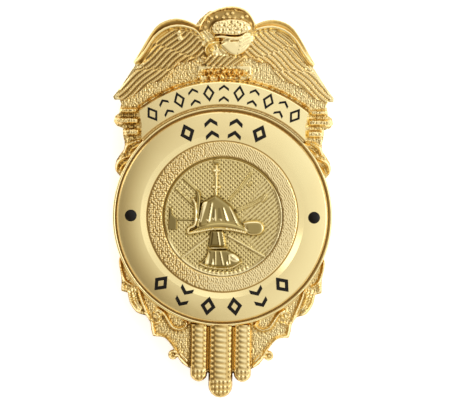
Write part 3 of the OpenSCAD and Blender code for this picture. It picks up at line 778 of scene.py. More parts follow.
@dataclass
class Eagle(Relief):
    """Struck eagle with feathered wings, head, tail and beaded crest.

    Attributes:
        feather_w: width of a feather.
        line: half width of the pale line round a feather.
        line_rise: height of that line.
        barb_pitch: spacing of the barbs along a feather.
        barb_depth: depth of the barbs.
        lean: how a left feather runs, to the left and down.
        gaps: height at the middle and slope of the lines between a wing's rows.
        wing: outline of the left wing's feathers.
        tail: outline of the tail's feathers.
        crown: outline of the head.
        breast: outline of the breast.
    """

    node: str = "eagle"
    pitch: float = 0.11
    soften: float = 0.12
    depth_tone: float = 0.4
    plate: float = 0.7
    feather_w: float = 0.9
    line: float = 0.17
    line_rise: float = 0.16
    barb_pitch: float = 0.42
    barb_depth: float = 0.05
    lean: tuple[float, float] = (0.74, 0.67)
    gaps: Path = ((30.2, -0.35), (30.2, 0.02))
    wing: tuple = ((-16.3, 30.6), (-15.4, 32.3), (-14.3, 34.3), (-12.8, 36.0), (-11.0, 37.1),
        (-9.0, 37.4), (-7.0, 37.0), (-5.6, 36.2), (-4.6, 35.1), (-3.9, 33.6), (-4.2, 32.0),
        (-5.4, 30.2), (-7.6, 29.9), (-8.3, 29.0), (-9.2, 27.5), (-11.2, 26.2), (-13.9, 24.8),
        (-17.2, 23.6), (-20.8, 22.9), (-21.5, 24.1), (-19.6, 26.7), (-17.6, 29.6), (-16.3, 29.8))
    tail: tuple = ((-3.2, 32.4), (-0.6, 32.3), (2.4, 32.0), (4.3, 32.3), (3.5, 30.1), (0.0, 29.8),
        (-4.6, 29.9), (-5.3, 30.4))
    crown: tuple = ((-2.6, 37.6), (-2.0, 38.7), (-0.2, 39.3), (2.0, 39.5), (4.2, 39.1), (5.3, 38.0),
        (4.8, 37.1), (3.2, 36.4), (0.9, 36.3), (-1.7, 36.4), (-2.4, 36.9))
    breast: tuple = ((-0.9, 34.4), (-0.3, 33.6), (1.0, 32.6), (2.6, 32.3), (4.1, 33.1), (5.2, 34.3),
        (5.9, 35.6), (5.7, 36.6), (4.7, 36.9), (3.5, 36.3), (1.6, 36.1), (-0.4, 36.3), (-1.8, 36.1),
        (-2.0, 35.7), (-0.7, 35.6), (0.4, 35.2))

    def build(self) -> None:
        """Model and dress the eagle."""
        self.margin()
        for side in Side:
            self.feather([(-side.value * x, y) for x, y in self.wing], side, self.gaps)
        self.feather(self.tail, Side.LEFT, ())
        self.bar([(-9.1, 36.6), (-8.9, 35.6)], 0.5, 0.3, floor=self.height)
        self.head()
        self.settle(right_light=0.5)
        piece = self.solid("struck_eagle")
        gold = GoldFinish("eagle_gold", struck=True).material()
        settle_piece(piece, gold, "struck_metal", "eagle")

    def feather(self, outline: Path, side: Side, gaps: Path) -> None:
        """Lay feathers: sunk, combed vanes in painted shade between pale raised lines, in rows with
        round tips.

        Args:
            outline: where the feathers lie.
            side: which way they sweep; the left ones get darker painted shade, away from the light.
            gaps: height at the middle and slope of each line between two rows.
        """
        zone = ease((self.inward(outline) + 0.05) / 0.3)
        self.calm(zone, 0.5)
        x, y = side.value * -self.x, self.y
        lean_x, lean_y = self.lean
        run = -lean_x * x - lean_y * y
        across = (lean_y * x - lean_x * y + 0.14 * np.sin(run * 0.8)) / self.feather_w
        row, tips = np.zeros_like(x), np.zeros_like(x)
        for k, (level, slope) in enumerate(gaps):
            cell = across + 0.5 * k
            away = y - level - slope * x + 0.9 * arch(2 * from_whole(cell))
            row = np.where(away < 0, k + 1, row)
            tips = np.maximum(tips, bell(away / 0.24))
        cell = across + 0.5 * row
        between = 0.5 - np.abs(from_whole(cell))
        line = np.maximum(bell(between * self.feather_w / self.line), 0.5 * tips)
        comb = np.sin(2 * np.pi * (run + 0.9 * between) / self.barb_pitch)
        barbed = ease(from_whole(cell) / 0.12)
        # painted shade in the sunk vanes, darker on the left wing, away from the light
        dark = (0.88 - 0.1 * side.value) * (1 - barbed) + barbed * (0.56 + 0.3 * comb)
        form = (1 - line) * (self.barb_depth * (0.4 + barbed) * comb - 0.1) + line * self.line_rise
        self.height += zone * form
        self.painted_shade += zone * (dark * (1 - line) - self.painted_shade)

    def margin(self) -> None:
        """Shape the outer rim, the band of painted shade inside it and the crest's painted dark
        ground.
        """
        edge, across, up = self.edge_distance(), self.x, self.y
        upper = ease((up - 30.2) / 0.6)
        rim = bell((edge - 0.2) / 0.22) * upper
        flat = ease((self.floor + 0.28 - self.height) / 0.2)
        band = ease((edge - 0.35) / 0.15) * ease((1.5 - edge) / 0.2) * upper
        crest = ease(self.inward(curve([(-5.0, 37.2), (-4.4, 38.6), (-3.0, 40.2), (-0.8, 41.2),
            (1.6, 41.4), (3.9, 41.0), (5.2, 39.9), (6.0, 38.2), (6.1, 37.0), (4.7, 37.2),
            (4.5, 38.6), (2.5, 39.3), (0.0, 39.2), (-1.8, 38.8), (-2.7, 37.8),
            (-3.0, 36.8)])) / 0.2)
        self.height += 0.14 * rim - 0.05 * band * flat
        self.calm(crest, 0.6)
        # painted shade in the sunk band and on the crest's ground
        self.darken(np.maximum(0.68 * band * flat, 0.74 * crest) * (1 - rim))
        # painted orange reflection near the outer edge
        self.amber = 0.3 * ease((1.2 - edge) / 0.3) * upper
        dots = ((-2.75, 39.6), (-1.75, 39.9), (-0.3, 39.85), (0.9, 39.9), (2.0, 39.8), (-3.4, 38.9),
            (-3.95, 37.8), (-3.5, 37.1), (1.5, 40.7), (0.4, 40.5), (3.4, 39.9), (4.4, 40.1),
            (5.0, 38.6))
        for x, y in dots:
            self.bead(x, y, 0.32, 0.25)
            self.painted_shade *= 1 - bell(np.hypot(across - x, up - y) / 0.22)
        leaves = self.oval(-0.1, 28.8, 5.6, 1.1)
        self.texture(leaves, 0.7, 0.4, 0.62)
        # painted orange reflection on the leaves
        self.amber = np.maximum(self.amber, 0.55 * leaves)
        self.panel_wall(0.0)
        self.bead(0.2, 29.0, 0.9, 0.35)

    def head(self) -> None:
        """Round the head and the breast, and cut the dimples, the groove and the slot, with painted
        shade.
        """
        self.calm(self.oval(1.07, 38.0, 3.9, 1.75), 0.35)
        self.calm(self.oval(1.95, 34.2, 3.2, 2.2), 0.9)
        crown = self.lay(self.crown, 1.07, 38.0)
        flat = self.lay(self.breast, 1.95, 34.2)
        self.height -= flat * 0.45 * np.clip(self.height - self.floor - 0.7, 0, None)
        self.height -= flat * (0.1 * (self.x - 1.95) + 0.08 * (self.y - 34.1))
        level = float((crown * self.height).sum() / crown.sum())
        self.height += crown * (0.6 * (level - self.height) - 0.1 * (self.x - 1.07))
        self.painted_shade *= (1 - 0.9 * flat) * (1 - 0.9 * crown)
        self.texture(crown, 0.62, 0.1, 0.2)
        spiral = [(-2.4 + (1.45 - 0.16 * k) * math.cos(2.6 - 0.75 * k),
                   33.55 + (1.3 - 0.15 * k) * math.sin(2.6 - 0.75 * k)) for k in range(-3, 8)]
        for half_width, rise, path in (
                # half width, rise, middle line
                (0.22, 0.2, ((-4.8, 36.8), (-4.0, 35.9), (-3.5, 35.1))),
                (0.22, 0.2, ((-4.2, 37.0), (-3.5, 36.3), (-2.9, 35.6))),
                (0.22, 0.2, ((-3.4, 36.9), (-2.8, 36.5), (-2.2, 35.8))),
                (0.24, 0.18, spiral),
                (0.24, 0.16, ((-1.9, 35.75), (-0.6, 35.95), (1, 35.75), (2.4, 35.7), (3.6, 36.0))),
                (0.2, 0.08, ((2.8, 32.7), (4.1, 33.6), (5.2, 35.0))),
                (0.2, 0.08, ((5.6, 36.2), (4.4, 35.8), (3.2, 35.0))),
                (0.2, 0.08, ((5.7, 35.7), (4.4, 35.1), (3.2, 34.2))),
                (0.2, 0.08, ((5.2, 35.0), (4.2, 34.4), (3.0, 33.4))),
                (0.12, -0.2, ((-1.8, 36.2), (-0.8, 36.45), (1, 36.2), (2.2, 36.15), (3.2, 36.4),
                              (4.3, 36.9))),
                (0.18, -0.2, ((-0.95, 35.3), (-0.85, 34.7))),
                (0.16, -0.2, ((1.2, 35.1), (2.7, 35.2)))):
            away = self.along(curve(path))
            self.height += rise * arch(away / half_width)
            if rise < 0:
                # painted shade in the grooves
                self.darken(0.75 * ease((half_width + 0.06 - away) / 0.12))
        for y, places in ((38.9, (1.1, 2.5)), (38.15, (-1.5, -0.3, 0.9, 1.8, 3.0, 3.8)),
                          (37.2, (-1.6, -0.4, 0.9, 2.2, 3.3))):
            for x in places:
                self.dimple(x, y + 0.12 * math.sin(9.0 * x))

    def lay(self, outline: Path, x: float, y: float) -> Array:
        """Widen a round form to an outline at the height of its middle, and give its share."""
        top = float(self.height[np.hypot(self.x - x, self.y - y) < 0.6].mean())
        return self.puff(curve([*outline, outline[0]]), 0.56, 1.3, floor=top - 0.6)

    def dimple(self, x: float, y: float) -> None:
        """Sink one dimple of the head, with painted shade in it."""
        self.bead(x, y, 0.24, -0.16)
        self.darken(0.8 * ease((0.24 - np.hypot(self.x - x, self.y - y)) / 0.14))


def curve(points: Path, steps: int = 5) -> list[tuple[float, float]]:
    """Draw a smooth curve through points.

    Args:
        points: the points.
        steps: pieces between two of them.

    Returns:
        The curve's points.
    """
    ends = [points[0], *points, points[-1]]
    found = []
    for a, b, c, d in zip(ends, ends[1:], ends[2:], ends[3:]):
        for k in range(steps):
            t = k / steps
            found.append(tuple(0.5 * (2 * q + (r - p) * t + (2 * p - 5 * q + 4 * r - u) * t ** 2
                                      + (3 * q - p - 3 * r + u) * t ** 3)
                               for p, q, r, u in zip(a, b, c, d)))
    return [*found, points[-1]]


@dataclass(frozen=True)
class Column:
    """One ribbed column.

    Attributes:
        x: its middle.
        half: half its width.
        end: its lower end.
        bar: half the width of its ribbed bar.
    """

    x: float
    half: float
    end: float
    bar: float


@dataclass
class BackPlate(Relief):
    """Struck plate with scroll borders, bars and ribbed columns.

    Attributes:
        pebble: spacing of the pebbles on its grounds.
        pebble_rise: height of those pebbles.
        rim: radius of the bead round the ring.
        rib: spacing of the ribs across a column.
        column_h: height of a column.
        knob: spacing of the knobs across a column's end.
        columns: the three columns.
    """

    node: str = "body"
    pitch: float = 0.13
    soften: float = 0.13
    depth_tone: float = 0.7
    plate: float = 1.6
    pebble: float = 0.42
    pebble_rise: float = 0.13
    rim: float = 22.0
    rib: float = 1.03
    column_h: float = 1.15
    knob: float = 0.8
    columns: tuple[Column, ...] = (Column(0.0, 2.42, -36.3, 1.15), Column(-4.38, 1.74, -33.1, 0.8),
                                   Column(4.38, 1.74, -33.1, 0.8))

    def build(self) -> None:
        """Model and dress the plate."""
        self.grounds()
        for column in self.columns:
            self.column(column)
        self.edge()
        self.settle(right_light=0.5)
        piece = self.solid("struck_plate", ("legend_ring", "banner", "eagle", "seal"))
        gold = GoldFinish("plate_gold", struck=True).material()
        settle_piece(piece, gold, "struck_metal", "body")

    def edge(self) -> None:
        """Raise a thin bead just inside the outline, with painted shade lines beside it."""
        edge, radius = self.edge_distance(), np.hypot(self.x, self.y)
        lower = ease((16.0 - self.y) / 1.0) * (radius > self.rim + 0.4)
        self.height += lower * 0.1 * bell((edge - 0.42) / 0.2)
        # painted shade along the outline and inside the bead
        self.darken(lower * 0.7 * ease((0.28 - edge) / 0.14))
        self.darken(lower * 0.5 * bell((edge - 0.75) / 0.12))
        # painted shadow of the ring's edge on the plate
        self.darken(0.42 * np.exp(-((radius - self.rim) / 0.4) ** 4))

    def grounds(self) -> None:
        """Texture the sunk grounds and stipple the bars under the wings, with painted shade between
        pebbles.
        """
        low = ease((self.floor + 0.25 - self.height) / 0.2)
        low *= np.hypot(self.x, self.y) > self.rim + 0.3
        self.texture(low, self.pebble, self.pebble_rise, 0.45)
        self.grain = low
        self.panel_wall(0.8)
        bars = ease((self.y - 15.5) / 0.3) * ease((22.4 - self.y) / 0.3)
        bars *= ease((np.abs(self.x) - 16.6) / 0.3) * (1 - low)
        self.texture(bars, 0.5, 0.16, 0.5)

    def column(self, column: Column) -> None:
        """Shape one column: a round back, soft ribs, two rows of beads and a beaded end, with
        painted shade.

        Args:
            column: the column.
        """
        dx = self.x - column.x
        past = np.clip(column.end + column.half - self.y, 0, column.half)
        u = np.hypot(dx, past) / column.half
        zone = ease((0.97 - u) / 0.06) * (self.y < -self.rim + 0.4)
        step = (self.y + self.rim - 0.3) / self.rib
        along = from_whole(step) * self.rib
        tail = ease((column.end + 1.7 * column.half - self.y) / 1.2)
        shaft = 1 - tail
        back = self.column_h * np.sqrt(np.clip(1 - 0.85 * u ** 4, 0, 1))
        bar = ease((column.bar - np.abs(dx)) / 0.14)
        rows = (np.abs(dx) - 0.5 * (column.bar + column.half)) ** 2
        beads = np.exp(-(rows + along ** 2) / 0.2 ** 2)
        split = dx / self.knob
        knobs = np.exp(-((from_whole(split) * self.knob) ** 2 + along ** 2) / 0.26 ** 2)
        wave = 0.5 + 0.5 * np.cos(2 * np.pi * step)
        lens = wave * np.clip(1 - 0.7 * (dx / column.bar) ** 2, 0, 1)
        form = back + shaft * (bar * (0.15 * lens - 0.05) + 0.24 * beads * (1 - bar))
        form = form + tail * (0.22 * knobs - 0.08)
        # painted shade: darker on the left flank, away from the light, and between ribs and knobs
        side = np.where(dx < 0, 0.78, 0.5)
        dark = shaft * ((1 - bar) * side * (1 - beads) + bar * 0.42 * (1 - lens) ** 2)
        dark = np.maximum(dark, tail * 0.5 * (1 - knobs))
        self.height += zone * (self.floor + form - self.height)
        self.painted_shade = np.where(zone > 0.5, 0.85 * dark, self.painted_shade)
        self.grain *= 1 - zone


@dataclass
class CentreDisc(Relief):
    """Applied disc with its lattice ground and the fire service's tools.

    Attributes:
        across: spacing of the lattice's pits across.
        up: spacing of the lattice's rows.
        rake: spacing of the raked lines at the lower right.
        rake_turn: how far those lines are turned, in radians.
        bump: spacing of the bumps at the lower edge, in radians.
        pit: depth of the lattice.
        collar: width of the bead and the recess at the disc's edge.
        collar_rise: height of that bead, and depth of the recess.
    """

    node: str = "seal"
    pitch: float = 0.1
    soften: float = 0.09
    depth_tone: float = 0.35
    plate: float = 0.55
    across: float = 0.93
    up: float = 0.9
    rake: float = 0.65
    rake_turn: float = 0.75
    bump: float = 0.078
    pit: float = 0.1
    collar: float = 0.42
    collar_rise: float = 0.14

    def build(self) -> None:
        """Model and dress the disc."""
        self.height = np.where(self.inside, self.floor, self.height)
        self.ground()
        self.tools()
        self.trumpet()
        self.helmet()
        self.grain *= self.height < self.floor + 0.2
        self.settle(0.02)
        piece = self.solid("struck_disc")
        gold = GoldFinish("disc_gold", colour=(0.94, 0.81, 0.47), shade=(0.61, 0.475, 0.185),
                          deep=(0.15, 0.11, 0.04), roughness=0.06, struck=True).material()
        settle_piece(piece, gold, "struck_metal", "seal")

    def ground(self) -> None:
        """Cut lattice and raked lines, raise the edge with its row of bumps; paint shade in pits
        and recess.
        """
        x, y, outer = self.x, self.y, corners("seal")[1].x / MM
        radius = np.hypot(x, y)
        u, v = x / self.across, y / self.up
        pits = ease((np.cos(np.pi * (u + v)) * np.cos(np.pi * (u - v))) ** 2 * 1.6 - 0.45)
        lean_x, lean_y = math.cos(self.rake_turn), math.sin(self.rake_turn)
        wave = (x * lean_y - y * lean_x) / self.rake
        cross = (x * lean_x + y * lean_y) / 1.1
        lines = (0.5 + 0.5 * np.sin(2 * np.pi * wave)) * (0.87 + 0.13 * np.sin(2 * np.pi * cross))
        raked = ease((x - 0.5 * np.abs(y + 1.0) - 2.5) / 2.0)
        form = (1 - raked) * pits + raked * lines
        slope = ease((radius - outer + self.collar) / 0.14)
        round_up = arch((radius - outer + 0.5 * self.collar) / (0.6 * self.collar))
        turn = np.arctan2(x, -y)
        recess = ease((np.cos(turn + math.pi - 0.45) + 0.15) / 0.5)
        form = form * ease((outer - self.collar - 0.1 - radius) / 0.3)
        collar = self.collar_rise * ((1 - recess) * round_up - recess)
        self.height += slope * collar - (1 - slope) * self.pit * form
        # painted shade in the pits and between the raked lines, and a painted dark, orange crescent
        # along the recess on the upper left
        dark = 0.28 - 0.1 * raked + (0.36 - 0.14 * raked) * form
        self.painted_shade = (1 - slope) * dark + slope * (0.05 + 0.7 * recess)
        self.amber = 0.8 * slope * recess
        self.grain = (1 - slope) * 0.5
        bumps = ease((0.5 - np.abs(turn)) / 0.05) * bell((radius - outer + 0.65) / 0.22)
        bumps = bumps * (0.5 + 0.5 * np.cos(turn * 2 * np.pi / self.bump))
        self.height += 0.22 * bumps
        self.painted_shade *= 1 - bumps

    def tools(self) -> None:
        """Raise the faint ladder, pole, nozzle and crossed handles, and the flat axe."""
        bar, puff = self.bar, self.puff
        for path, half_width, rise, painted_shade in (
                # path, half width, rise, stain, which is painted shade
                ([(-9.4, 5.5), (-5.9, 2.2)], 0.16, 0.14, 0.5),
                ([(-7.9, 7.5), (-3.8, 3.8)], 0.16, 0.14, 0.5),
                ([(1.4, 3.4), (3.4, 5.7), (5.6, 8.8)], 0.3, 0.2, 0.42),
                ([(5.6, 6.9), (5.2, 6.2)], 0.24, 0.2, 0.4),
                ([(2.9, 1.3), (6.0, 2.6), (8.2, 3.9)], 0.34, 0.2, 0.36),
                ([(8.0, 3.3), (8.6, 4.3)], 0.3, 0.22, 0.3),
                ([(-2.6, -4.0), (-8.0, -8.2)], 0.26, 0.13, 0.15),
                ([(1.2, -3.9), (8.6, -8.0)], 0.26, 0.12, 0.18),
                ([(-9.1, -0.72), (-5.6, -0.76)], 0.16, 0.16, 0.8)):
            shadow = ease((half_width + 0.2 - self.along(path)) / 0.14)
            self.darken(0.72 * shadow)
            bar(path, half_width, rise, painted_shade, self.floor - 0.02)
        for k in range(5):
            x, y = -8.9 + 0.9 * k, 6.0 - 0.85 * k
            bar([(x - 0.5, y - 0.55), (x + 0.7, y + 0.75)], 0.12, 0.12, 0.3, self.floor - 0.03)
        # the axe gets dark painted shade
        puff([(-10.8, -2.75), (-9.1, -2.75), (-9.1, -0.6), (-10.0, 0.2), (-10.2, 1.7),
            (-10.7, 1.7)], 0.32, 0.12, 0.85)

    def trumpet(self) -> None:
        """Raise the speaking trumpet: neck, ring, fluted bell, lobe and lip, with painted shade on
        the neck and the bell.
        """
        bar, puff = self.bar, self.puff
        puff([(-2.4, -2.6), (0.3, -2.6), (0.85, -6.2), (-2.8, -6.2)], 0.7, 0.8, 0.86)
        puff(curve([(-2.8, -6.4), (-3.3, -8.0), (-4.4, -9.4), (-3.0, -10.1), (-0.4, -10.4),
            (2.0, -10.2), (3.7, -9.2), (3.6, -8.2), (2.6, -7.3), (1.0, -6.5)]), 0.75, 0.8, 0.8)
        self.flutes((
            # x and y of its top, x and y of its foot, half width at top and foot, tilt, stain,
            # which is painted shade
            (-0.85, -3.0, -0.4, -5.8, 0.16, 0.16, 0.3, 0.0),
            (0.1, -3.1, 0.65, -5.8, 0.2, 0.22, 0.3, 0.0),
            (-2.5, -7.2, -3.05, -9.6, 0.1, 0.36, 0.3, 0.1),
            (-1.8, -8.4, -1.75, -9.7, 0.08, 0.28, 0.3, 0.0),
            (-1.3, -6.9, -1.25, -9.7, 0.14, 0.16, 0.3, 0.2),
            (-0.3, -6.9, 0.3, -9.7, 0.15, 0.18, 0.3, 0.05),
            (1.0, -8.8, 1.15, -9.7, 0.08, 0.3, 0.3, 0.0),
            (1.35, -7.6, 1.6, -9.5, 0.12, 0.2, 0.3, 0.15)))
        puff(curve([(1.5, -7.5), (2.4, -7.5), (3.4, -8.3), (3.1, -9.0), (2.1, -8.9), (1.4, -8.2),
            (1.5, -7.5)]), 1.05, 1.3)
        bar([(-2.7, -6.35), (0.9, -6.25)], 0.24, 1.0)
        bar(curve([(-4.4, -9.4), (-3.0, -10.05), (-0.4, -10.4), (2.0, -10.15), (3.8, -9.1)]), 0.24,
            0.95)

    def flutes(self, rows: Sequence[tuple[float, ...]]) -> None:
        """Press flutes into a form: strips that fall to the right, with their own painted shade,
        between valleys of painted shade.

        Args:
            rows: for each, x and y of its top, x and y of its foot, half its width at top and foot,
                its tilt and how much shade is painted on it.
        """
        for x0, y0, x1, y1, half0, half1, tilt, painted_shade in rows:
            run = np.clip((y0 - self.y) / (y0 - y1), 0, 1)
            half = half0 + (half1 - half0) * run
            off = self.x - x0 - (x1 - x0) * run
            share = ease((half + 0.07 - np.abs(off)) / 0.12)
            share *= ease((y0 + 0.1 - self.y) / 0.3) * ease((self.y - y1 + 0.1) / 0.2)
            self.height += share * tilt * (half - off)
            self.painted_shade += share * (painted_shade - self.painted_shade)

    def helmet(self) -> None:
        """Raise the helmet: spire, front piece, ribbed crown, brim, lip and long rear bill, with
        painted shade.
        """
        bar, puff = self.bar, self.puff
        bar([(-1.75, 10.9), (-0.95, 10.9)], 0.42, 0.3, 0.6)
        bar([(-1.35, 4.2), (-1.35, 10.1)], 0.38, 0.45, 0.25)
        knots = ((-1.9, 5.9), (-0.8, 5.9), (-1.8, 9.2), (-0.9, 9.2), (-1.35, 8.3), (-1.35, 5.2))
        for x, y in knots:
            bar([(x, y), (x + 0.05, y)], 0.36, 0.65)
        puff([(-5.4, 5.4), (-4.5, 5.0), (-4.2, 3.6), (-4.5, 0), (-4.6, -2.4), (-5.3, -2.4),
            (-5.2, 0), (-5.3, 2.6)], 0.85, 0.5, 0.7)
        bar(curve([(-5.9, 3.4), (-5.4, 2.2), (-5.35, -0.8), (-5.6, -1.9), (-6.6, -2.4),
            (-6.9, -3.2)]), 0.34, 0.8, 0.05)
        puff(curve([(-1.4, 4.4), (0.2, 3.4), (1.7, 2.2), (2.7, 0.7), (3.6, -0.9), (4.6, -2.4),
            (0, -2.0), (-4.8, -2.4), (-4.7, 0.2), (-4.3, 2.5), (-3.0, 3.5), (-1.4, 4.4)]), 0.9, 0.9,
            0.74)
        self.flutes((
            # x and y of its top, x and y of its foot, half width at top and foot, tilt, stain,
            # which is painted shade
            (-3.45, 3.0, -4.5, -1.2, 0.44, 0.26, 0.3, 0.0),
            (-2.05, 2.8, -2.65, -1.2, 0.17, 0.24, 0.3, 0.0),
            (-1.7, 1.9, -1.95, -0.2, 0.12, 0.2, 0.0, 0.9),
            (-1.45, 1.5, -1.4, -0.9, 0.1, 0.22, 0.25, 0.1),
            (-0.7, 1.8, -0.5, -0.4, 0.2, 0.42, 0.0, 0.88),
            (0.15, 1.9, 1.1, -0.9, 0.15, 0.3, 0.32, 0.0),
            (1.4, 2.1, 3.3, -1.9, 0.12, 0.3, 0.32, 0.0)))
        for x, y in ((-3.1, -0.75), (-2.0, -0.5), (-0.4, -0.65), (2.4, -0.95)):
            bar([(x, y), (x + 0.15, y - 0.1)], 0.2, 1.0)
        brim = curve([(-6.9, -3.1), (-5.2, -2.3), (-3.2, -1.25), (-0.4, -0.85), (2.4, -1.15),
            (4.6, -2.0), (6.6, -3.3), (4.2, -3.3), (1.8, -2.85), (-0.5, -2.6), (-2.7, -2.75),
            (-4.8, -3.25), (-6.5, -3.6)])
        puff(brim, 1.05, 0.9, 0.62)
        puff(curve([(4.0, -1.2), (5.2, -0.8), (7.1, -0.75), (8.1, -1.3), (8.4, -2.3), (7.9, -3.3),
            (6.8, -3.7), (5.2, -3.6), (4.6, -2.6), (4.0, -1.2)]), 0.85, 0.5)
        puff(curve([(4.7, -1.35), (6.0, -1.2), (7.5, -1.3), (7.9, -2.2), (7.6, -3.1), (6.6, -3.4),
            (5.2, -3.2), (4.9, -2.4), (4.7, -1.35)]), 0.86, 0.3, 0.7)
        bar(curve([(-6.7, -3.45), (-4.6, -3.05), (-2.5, -2.6), (-0.4, -2.45), (2.0, -2.65),
            (4.6, -3.2)]), 0.3, 1.15)


@dataclass
class Trough:
    """Pebbled skin on the ring's trough, between the centre disc and the bevel.

    Attributes:
        inner: its inner radius.
        outer: its outer radius.
        level: height of the trough above the ring's seat.
        rings: rings of faces across it.
        turns: faces round it.
        rise: height of its pebbles.
        stone: spacing of its pebbles.
        ripple: spacing of its ripples.
    """

    inner: float = 12.02
    outer: float = 15.1
    level: float = 0.75
    rings: int = 26
    turns: int = 900
    rise: float = 0.13
    stone: float = 0.42
    ripple: float = 0.4

    def build(self) -> None:
        """Model and dress the skin."""
        centre = ring_centre()
        floor = corners("legend_ring")[0].z / MM + self.level
        bm = bmesh.new()
        width = (self.outer - self.inner) / self.rings
        line = [bm.verts.new(((self.inner + width * k) * MM, 0, floor * MM))
                for k in range(self.rings + 1)]
        edges = [bm.edges.new(pair) for pair in zip(line, line[1:])]
        bmesh.ops.spin(bm, geom=line + edges, axis=(0, 0, 1), cent=(0, 0, 0), steps=self.turns,
                       angle=2 * math.pi, use_merge=True, use_duplicate=False)
        x, y = (np.array([v.co[k] / MM for v in bm.verts]) for k in (0, 1))
        r = np.hypot(x, y)
        fade = ease(np.minimum(r - self.inner, self.outer - r) / 0.3)
        wave = 0.87 * x + 0.5 * y + 0.12 * np.sin(1.9 * x - 1.5 * y)
        upper = ease((y + 2.0) / 8.0)
        right = ease((x + 13.0) / 16.0)
        stone = pebbles(x, y, self.stone)
        swell = (0.12 + 0.08 * upper) * np.sin(2 * np.pi * wave / self.ripple)
        form = (1 - right) * stone + right * (0.48 + (0.38 - 0.12 * upper) * stone + swell)
        layer = bm.verts.layers.float.new("hollow")
        grain = bm.verts.layers.float.new("grain")
        # painted shade between the pebbles, lifted towards the right where the light falls
        dark = 0.85 * fade * (1 - 0.5 * right) * (1 - form) ** 1.5
        for v, share, height, tone in zip(bm.verts, fade, form, dark):
            v.co += Vector((centre.x, centre.y, MM * float(share * (0.02 + self.rise * height))))
            v[layer], v[grain] = float(tone), 0.15
        pull_down(bm, [e for e in bm.edges if e.is_boundary], floor * MM)
        bmesh.ops.recalc_face_normals(bm, faces=bm.faces[:])
        piece = finish_mesh(bm, "trough_ground")
        # painted dark lines of shade at the trough's inner and outer edges
        gold = GoldFinish("trough_gold", colour=(0.98, 0.85, 0.5), roughness=0.17, struck=True,
                          lines=((12.1, 0.16, 0.4), (15.05, 0.16, 0.6))).material()
        settle_piece(piece, gold, "polished_metal")


@dataclass
class Fittings:
    """Ring, panel, enamel and pin clasp, which keep their CAD form."""

    def dress(self) -> None:
        """Give each node its finish."""
        # painted dark lines of shade on the ring: at the bevel's foot, on the rolled outer edge and
        # round its bead
        ring = GoldFinish("ring_gold", colour=(0.95, 0.815, 0.44), roughness=0.24, grain=0.001,
                          lines=((15.15, 0.16, 0.9), (21.15, 0.45, 0.45), (21.4, 0.16, 0.5),
                                 (22.1, 0.14, 0.7))).material()
        # painted shade at the panel's lower edge and a painted dark reflection along its upper wall
        panel = GoldFinish("panel_gold", colour=(0.96, 0.83, 0.46), roughness=0.24, grain=0.001,
                           lines=((22.35, 0.2, 0.7), (27.4, 0.36, 0.9)), fall=0.1).material()
        enamel = EnamelFinish("black_enamel").material()
        clasp = GoldFinish("clasp_metal", colour=(0.72, 0.66, 0.5), roughness=0.3).material()
        finishes = {"legend_ring": ring, "banner": panel, "pin_clasp": clasp}
        for name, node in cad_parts.items():
            if node.hide_render:
                continue
            material = finishes.get(name, enamel)
            node.data.materials.clear()
            node.data.materials.append(material)
            LOG.info("%s dressed", name)


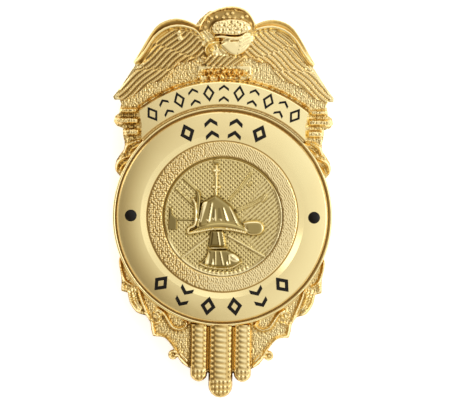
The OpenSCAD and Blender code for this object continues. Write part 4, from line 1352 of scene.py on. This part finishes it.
@dataclass
class Studio:
    """Pale floor, soft light and the camera straight above.

    Attributes:
        frame_width: width of the view at the badge, in metres.
        lens: focal length in millimetres.
        sensor: width of the camera's sensor in millimetres.
        aim: the middle of the view.
        roll: how far the badge is turned in the view, in degrees.
    """

    frame_width: float = 0.09
    lens: float = 200.0
    sensor: float = 36.0
    aim: tuple[float, float, float] = (0.00048, 0.0004, 0.007)
    roll: float = 0.7

    def build(self) -> None:
        """Make floor, light and camera."""
        self.floor()
        self.world()
        self.lights()
        self.camera()
        LOG.info("studio ready")

    def floor(self) -> None:
        """Make the floor."""
        bm = bmesh.new()
        bmesh.ops.create_grid(bm, x_segments=1, y_segments=1, size=1.5)
        piece = finish_mesh(bm, "floor")
        made, g = new_material("floor_white")
        colour = g.blend(g.noise(6.0), (0.9, 0.9, 0.89), (0.94, 0.94, 0.93))
        g.surface({"Base Color": colour, "Roughness": 0.8, "Emission Color": (1.0, 1.0, 0.99, 1.0),
                   "Emission Strength": 0.6})
        piece.data.materials.append(made)

    def world(self) -> None:
        """Light the room softly: bright right, dim left and a dark spot overhead."""
        world = bpy.data.worlds.new("studio")
        bpy.context.scene.world = world
        world.use_nodes = True
        g = Graph(world.node_tree)
        toward = g.node("ShaderNodeTexCoord", out="Generated")
        split = g.node("ShaderNodeSeparateXYZ", {}, {0: toward})
        x, y, z = (Socket(g, split.out.node.outputs[k]) for k in range(3))
        high = ((z - 0.3) / 0.5).clamp()
        overhead = (x * 1.9 + y * 0.6 + 0.9)._math("MAXIMUM", 0.28)._math("MINIMUM", 1.03)
        overhead = overhead + (x + y * 0.5 - 0.3)._math("MAXIMUM", 0.0) * 0.8
        around = 0.97 - x * 0.05
        level = overhead * high + around * (1.0 - high)
        tone = g.node("ShaderNodeValToRGB", {"stops": (
            (0.0, (0.05, 0.035, 0.02)), (0.3, (0.48, 0.405, 0.285)), (0.5, (0.79, 0.74, 0.65)),
            (0.72, (1.06, 1.06, 1.03)), (0.9, (1.4, 1.4, 1.38)))}, {0: level / 1.6})
        back = g.node("ShaderNodeBackground", {}, {"Color": tone, "Strength": 1.0})
        g.finish(back, "ShaderNodeOutputWorld")

    def lights(self) -> None:
        """Hang the softboxes, aimed at the badge."""
        for name, spot, size, power in (
                # name, place in metres, edge in metres, power in watts
                ("key", (0.6, 0.05, 0.55), 0.45, 0.95),
                ("top", (0.05, 0.65, 0.5), 0.5, 0.35),
                ("fill", (-0.6, 0.3, 0.2), 0.3, 0.35)):
            data = bpy.data.lights.new(name, "AREA")
            data.energy, data.size = power, size
            lamp = add_object(name, data)
            lamp.location = spot
            lamp.rotation_euler = (-Vector(spot)).to_track_quat("-Z", "Y").to_euler()

    def camera(self) -> None:
        """Hang the camera over the badge."""
        data = bpy.data.cameras.new("camera")
        data.lens, data.sensor_width = self.lens, self.sensor
        camera = add_object("camera", data)
        distance = self.lens / self.sensor * self.frame_width
        camera.location = Vector(self.aim) + Vector((0, 0, distance))
        camera.rotation_euler = (0, 0, math.radians(self.roll))
        bpy.context.scene.camera = camera
        bpy.context.scene.view_settings.view_transform = "Standard"


def main() -> None:
    """Build every sub-assembly in order."""
    logging.basicConfig(level=logging.INFO)
    for part in (BackPlate, Eagle, CentreDisc, Trough):
        part().build()
    Fittings().dress()
    Studio().build()


if __name__ == "__main__":
    main()
